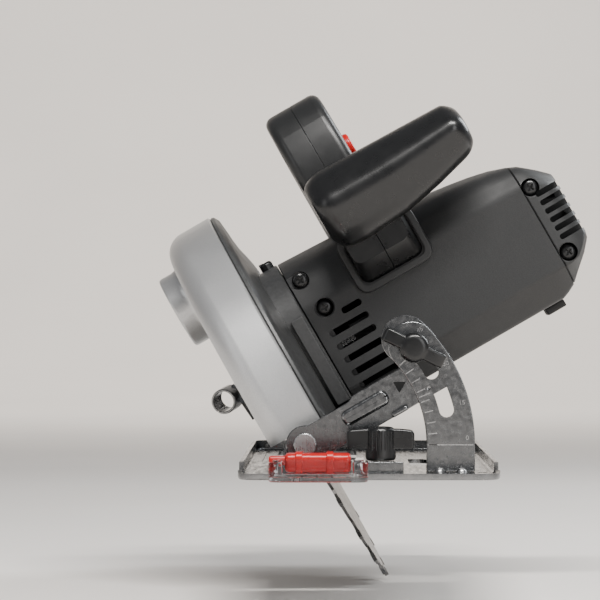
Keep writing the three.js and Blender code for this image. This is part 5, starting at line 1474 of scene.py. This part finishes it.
    def wing_knob(self, height: float, foot: float) -> Form:
        """A two-winged moulded knob along z: waisted hub, soft wings and grip grooves."""
        hub = Form.turned([(0, 0), (0, 6.0), (0.5, 6.5), (1.2, 6.8), (height - 2.2, 6.7),
                           (height - 1.0, 6.2), (height - 0.3, 5.2), (height, 3.6), (height - 0.4, 0)],
                          Axis.Z, (0, 0, 0), 72)
        shape = rounded([(-15, foot, 1.8), (15, foot, 1.8), (15, height - 1.6, 2.2),
                         (8, height - 0.9, 3), (-8, height - 0.9, 3), (-15, height - 1.6, 2.2)], 6)
        wings = Form.slab(shape, -3.2, 3.2, Axis.X, 1.1, 4)
        groove = Form.rod(0.45, foot, height - 2, Axis.Z, (0, 0, 0), 16)
        groove = groove.moved(Matrix.Translation((6.95, 0, 0)))
        grooves = self.repeat.around(groove, 24, 15, (0, 0, 1))
        return hub.less(grooves).plus(wings)

    def knobs(self) -> None:
        """The fence knob, which stands up, and the bevel knob with its bolt."""
        fence_x, fence_y = SOLE.fence
        turn = Matrix.Rotation(math.radians(90), 4, "Z")
        seat = 2.3 + 3.4 + 2 + 0.3
        knob = self.wing_knob(15, 4.5).moved(Matrix.Translation((fence_x, fence_y, seat)) @ turn)
        self.bench.piece("fence_knob_skin", knob, "fence_knob", Slot.SATIN, nodes=("fence_knob",),
                         bevel=0.15, smooth=36, edge=50)
        length, seat_y = 15.5, -89.0
        bolt_x, bolt_z = arc(SOLE.pivot, SOLE.arc_r, SOLE.bolt_angle, 0, 1)[0]
        bore = Form.rod(3.1, -1, 11.8, Axis.Z, (0, 0, 0), 32)
        place = (Matrix.Translation((bolt_x, seat_y, bolt_z))
                 @ Matrix.Rotation(math.radians(26), 4, "Y")
                 @ Matrix.Rotation(math.radians(90), 4, "X") @ turn)
        knob = self.wing_knob(length, 4.5).less(bore).moved(place)
        self.bench.piece("bevel_knob_skin", knob, "bevel_knob", Slot.SATIN, nodes=("bevel_knob",),
                         bevel=0.15, smooth=36, edge=50)

    def sight(self) -> None:
        """The clear sight window with its ribs, and the red clip with bands and a hook."""
        front, rear = SOLE.front - 27, SOLE.front - 1
        outer = Form.slab(rounded([(-44, front, 6), (-0.5, front, 6), (-0.5, rear, 1),
                                   (-44, rear, 1)], 6), 0.3, 9, Axis.Z, 0.9, 3)
        inner = Form.slab(rounded([(-42, front + 2, 4), (-2.5, front + 2, 4), (-2.5, rear + 1, 0),
                                   (-42, rear + 1, 0)], 6), 2.3, 10, Axis.Z, 0.6, 2, soft_end=0)
        sill = box_form((-38.3, -6.5), (front - 1, front + 3), (3.7, 11), 0.6)
        rib = box_form((-0.5, 0.5), (front + 1.2, front + 9), (1.2, 3.5), 0.3)
        ribs = self.repeat.along(rib, 5, (6.6, 0, 0)).moved(Matrix.Translation((-36, 0, 0)))
        form = outer.less(inner).less(sill).plus(ribs)
        self.bench.piece("sight_window_skin", form, "base", Slot.CLEAR, nodes=("sight_window",),
                         bevel=0.2, smooth=40, edge=50)
        back = SOLE.front - 3
        x0, x1, z0, z1 = -36.8, -8.0, 3.9, 12.4
        bar = Form.slab(box_shape(back - 13, z0, back, z1, 3.2, 8), x0, x1, Axis.X, 1.6, 4)
        for share in (0.21, 0.68):
            middle = x0 + share * (x1 - x0)
            band = Form.slab(box_shape(back - 13.6, z0 - 0.6, back + 0.6, z1 + 0.6, 3.4, 8),
                             middle - 1.6, middle + 1.6, Axis.X, 0.5, 3)
            bar = bar.plus(band)
        tongue = box_form((x0 + 6, x1 - 6), (back - 2, SOLE.front + 8), (z0, z0 + 2), 0.4)
        hook = Form.slab(box_shape(back - 11, 6.9, back - 3, 11.2, 1.6, 5), -43.9, x0 + 2, Axis.X,
                         0.9, 3)
        form = bar.plus(tongue).plus(hook)
        self.bench.piece("sight_clip_skin", form, "base", Slot.RED, nodes=("sight_clip",),
                         smooth=40)

    def fittings(self) -> None:
        """Smaller fittings whose CAD form is right, with broken edges."""
        for node in ("front_pivot_ear", "rear_pivot_ear", "fence_bridge"):
            self.bench.refined(node, "base", Slot.ZINC, 0.3, smooth=40)
        for node in ("front_pivot_pin", "rear_pivot_pin"):
            self.bench.refined(node, "base", Slot.STEEL, 0.4, smooth=40)
        self.bench.refined("bevel_bolt", "bevel_bolt", Slot.STEEL, 0.3)
        for node, body in (("outer_flange", "spindle"), ("blade_bolt", "spindle"),
                           ("retaining_ring", "head")):
            self.bench.refined(node, body, Slot.STEEL, 0.25)


# ---------------------------------------------------------------- studio
@dataclass(frozen=True)
class Softbox:
    """A soft rectangular studio light."""

    name: str
    place: tuple[float, float, float]
    aim: tuple[float, float, float]
    size: tuple[float, float]
    power: float
    tint: tuple[float, float, float] = (1.0, 1.0, 1.0)

    def build(self) -> None:
        """Hangs the light."""
        data = bpy.data.lights.new(self.name, "AREA")
        data.shape = "RECTANGLE"
        data.size, data.size_y = self.size
        data.energy = self.power
        data.color = self.tint
        made = bpy.data.objects.new(self.name, data)
        made.location = self.place
        direction = Vector(self.aim) - Vector(self.place)
        made.rotation_euler = direction.to_track_quat("-Z", "Y").to_euler()
        bpy.context.scene.collection.objects.link(made)


@dataclass(frozen=True)
class Studio:
    """Floor, lights and camera."""

    floor_z: float = -0.0562
    eye: tuple[float, float, float] = (-0.0128, -1.665, 0.0766)
    turn: float = 0.654
    pitch: float = 0.098
    lens: float = 210.3
    lights: tuple[Softbox, ...] = (
        Softbox("key", (0.1, -0.8, 1.2), (0.0, 0.0, 0.06), (0.9, 0.14), 34.0, (1.0, 0.98, 0.95)),
        Softbox("fill", (-1.3, -0.9, 0.5), (-0.05, 0.0, 0.04), (0.5, 0.8), 2.0),
        Softbox("front", (0.75, -1.6, 0.5), (-0.02, 0.0, 0.05), (0.5, 0.9), 7.0),
        Softbox("rim", (0.9, 0.7, 0.8), (0.02, 0.0, 0.08), (0.5, 0.8), 16.0, (0.95, 0.98, 1.0)),
        Softbox("backdrop", (0.0, 2.4, 1.6), (0.0, 4.2, 0.3), (2.5, 0.8), 60.0, (1.0, 0.96, 0.9)),
    )

    def build(self) -> None:
        """Sets up the studio."""
        sweep = [(-5.0, 0.0), (3.0, 0.0)] + [(3.0 + y, z) for y, z in arc((0, 1.5), 1.5, -90, 0, 24)]
        sweep.append((4.5, 5.0))
        bm = bmesh.new()
        left, right = ([bm.verts.new((x, y, z)) for y, z in sweep] for x in (-6.0, 6.0))
        for i in range(len(sweep) - 1):
            bm.faces.new((left[i], right[i], right[i + 1], left[i + 1]))
        mesh = bpy.data.meshes.new("studio_floor")
        bm.to_mesh(mesh)
        mesh.polygons.foreach_set("use_smooth", [True] * len(mesh.polygons))
        floor = bpy.data.objects.new("studio_floor", mesh)
        floor.location = (0, 0, self.floor_z)
        floor.data.materials.append(StudioFloor().build())
        bpy.context.scene.collection.objects.link(floor)
        for light in self.lights:
            light.build()
        world = bpy.data.worlds.new("studio")
        world.use_nodes = True
        background = world.node_tree.nodes["Background"]
        background.inputs["Color"].default_value = (0.86, 0.87, 0.9, 1.0)
        background.inputs["Strength"].default_value = 0.3
        bpy.context.scene.world = world
        data = bpy.data.cameras.new("camera")
        data.lens = self.lens
        data.sensor_width = 36.0
        data.clip_end = 50.0
        camera = bpy.data.objects.new("camera", data)
        camera.location = self.eye
        camera.rotation_euler = (math.radians(90 + self.pitch), 0, math.radians(self.turn))
        bpy.context.scene.collection.objects.link(camera)
        bpy.context.scene.camera = camera


def finishes() -> dict[Slot, bpy.types.Material]:
    """Builds one material for each of the record's slots."""
    axle = HEAD.matrix @ Vector((0.0, *SIZE.spindle)) * MM
    along = (HEAD.matrix.to_3x3() @ Vector((1, 0, 0))).normalized()
    return {
        Slot.ZINC: ZincPlate().build(),
        Slot.STEEL: MachinedSteel().build(),
        Slot.BLADE: BladeSteel(centre=tuple(axle)).build(),
        Slot.SILVER: SilverPaint().build(),
        Slot.CAST: CastPaint().build(),
        Slot.HOUSING: GrainedPlastic("housing_plastic", 0.016, 0.5).build(),
        Slot.HANDLE: GrainedPlastic("handle_plastic", 0.012, 0.36, 2600.0, 0.1).build(),
        Slot.SATIN: SatinPlastic("satin_black", (0.005, 0.0052, 0.0056), 0.29).build(),
        Slot.RED: SatinPlastic("red_plastic", (0.46, 0.0015, 0.001), 0.3).build(),
        Slot.CLEAR: ClearPlastic().build(),
        Slot.RUBBER: Rubber().build(),
        Slot.IRON: LaminatedIron(axis=tuple(along)).build(),
        Slot.COPPER: Copper().build(),
    }


def dress_nodes(dressed: dict[Slot, bpy.types.Material]) -> None:
    """Gives each CAD node the finish of its slot in the record."""
    for entry in frame["record"]["subparts"]:
        node = frame["nodes"].get(entry["node"])
        if node is None:
            continue
        finish = dressed[Slot(entry["material_slot"])]
        node.data.materials.clear()
        node.data.materials.append(finish)


def main() -> None:
    """Builds the saw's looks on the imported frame."""
    dressed = finishes()
    dress_nodes(dressed)
    bench = Bench(dressed)
    repeater = Repeater()
    for assembly in (Guards, Drive, Motor, Handles, Bevel):
        assembly(bench, repeater).build()
    Studio().build()
    bpy.context.view_layer.update()


if __name__ == "__main__":
    main()
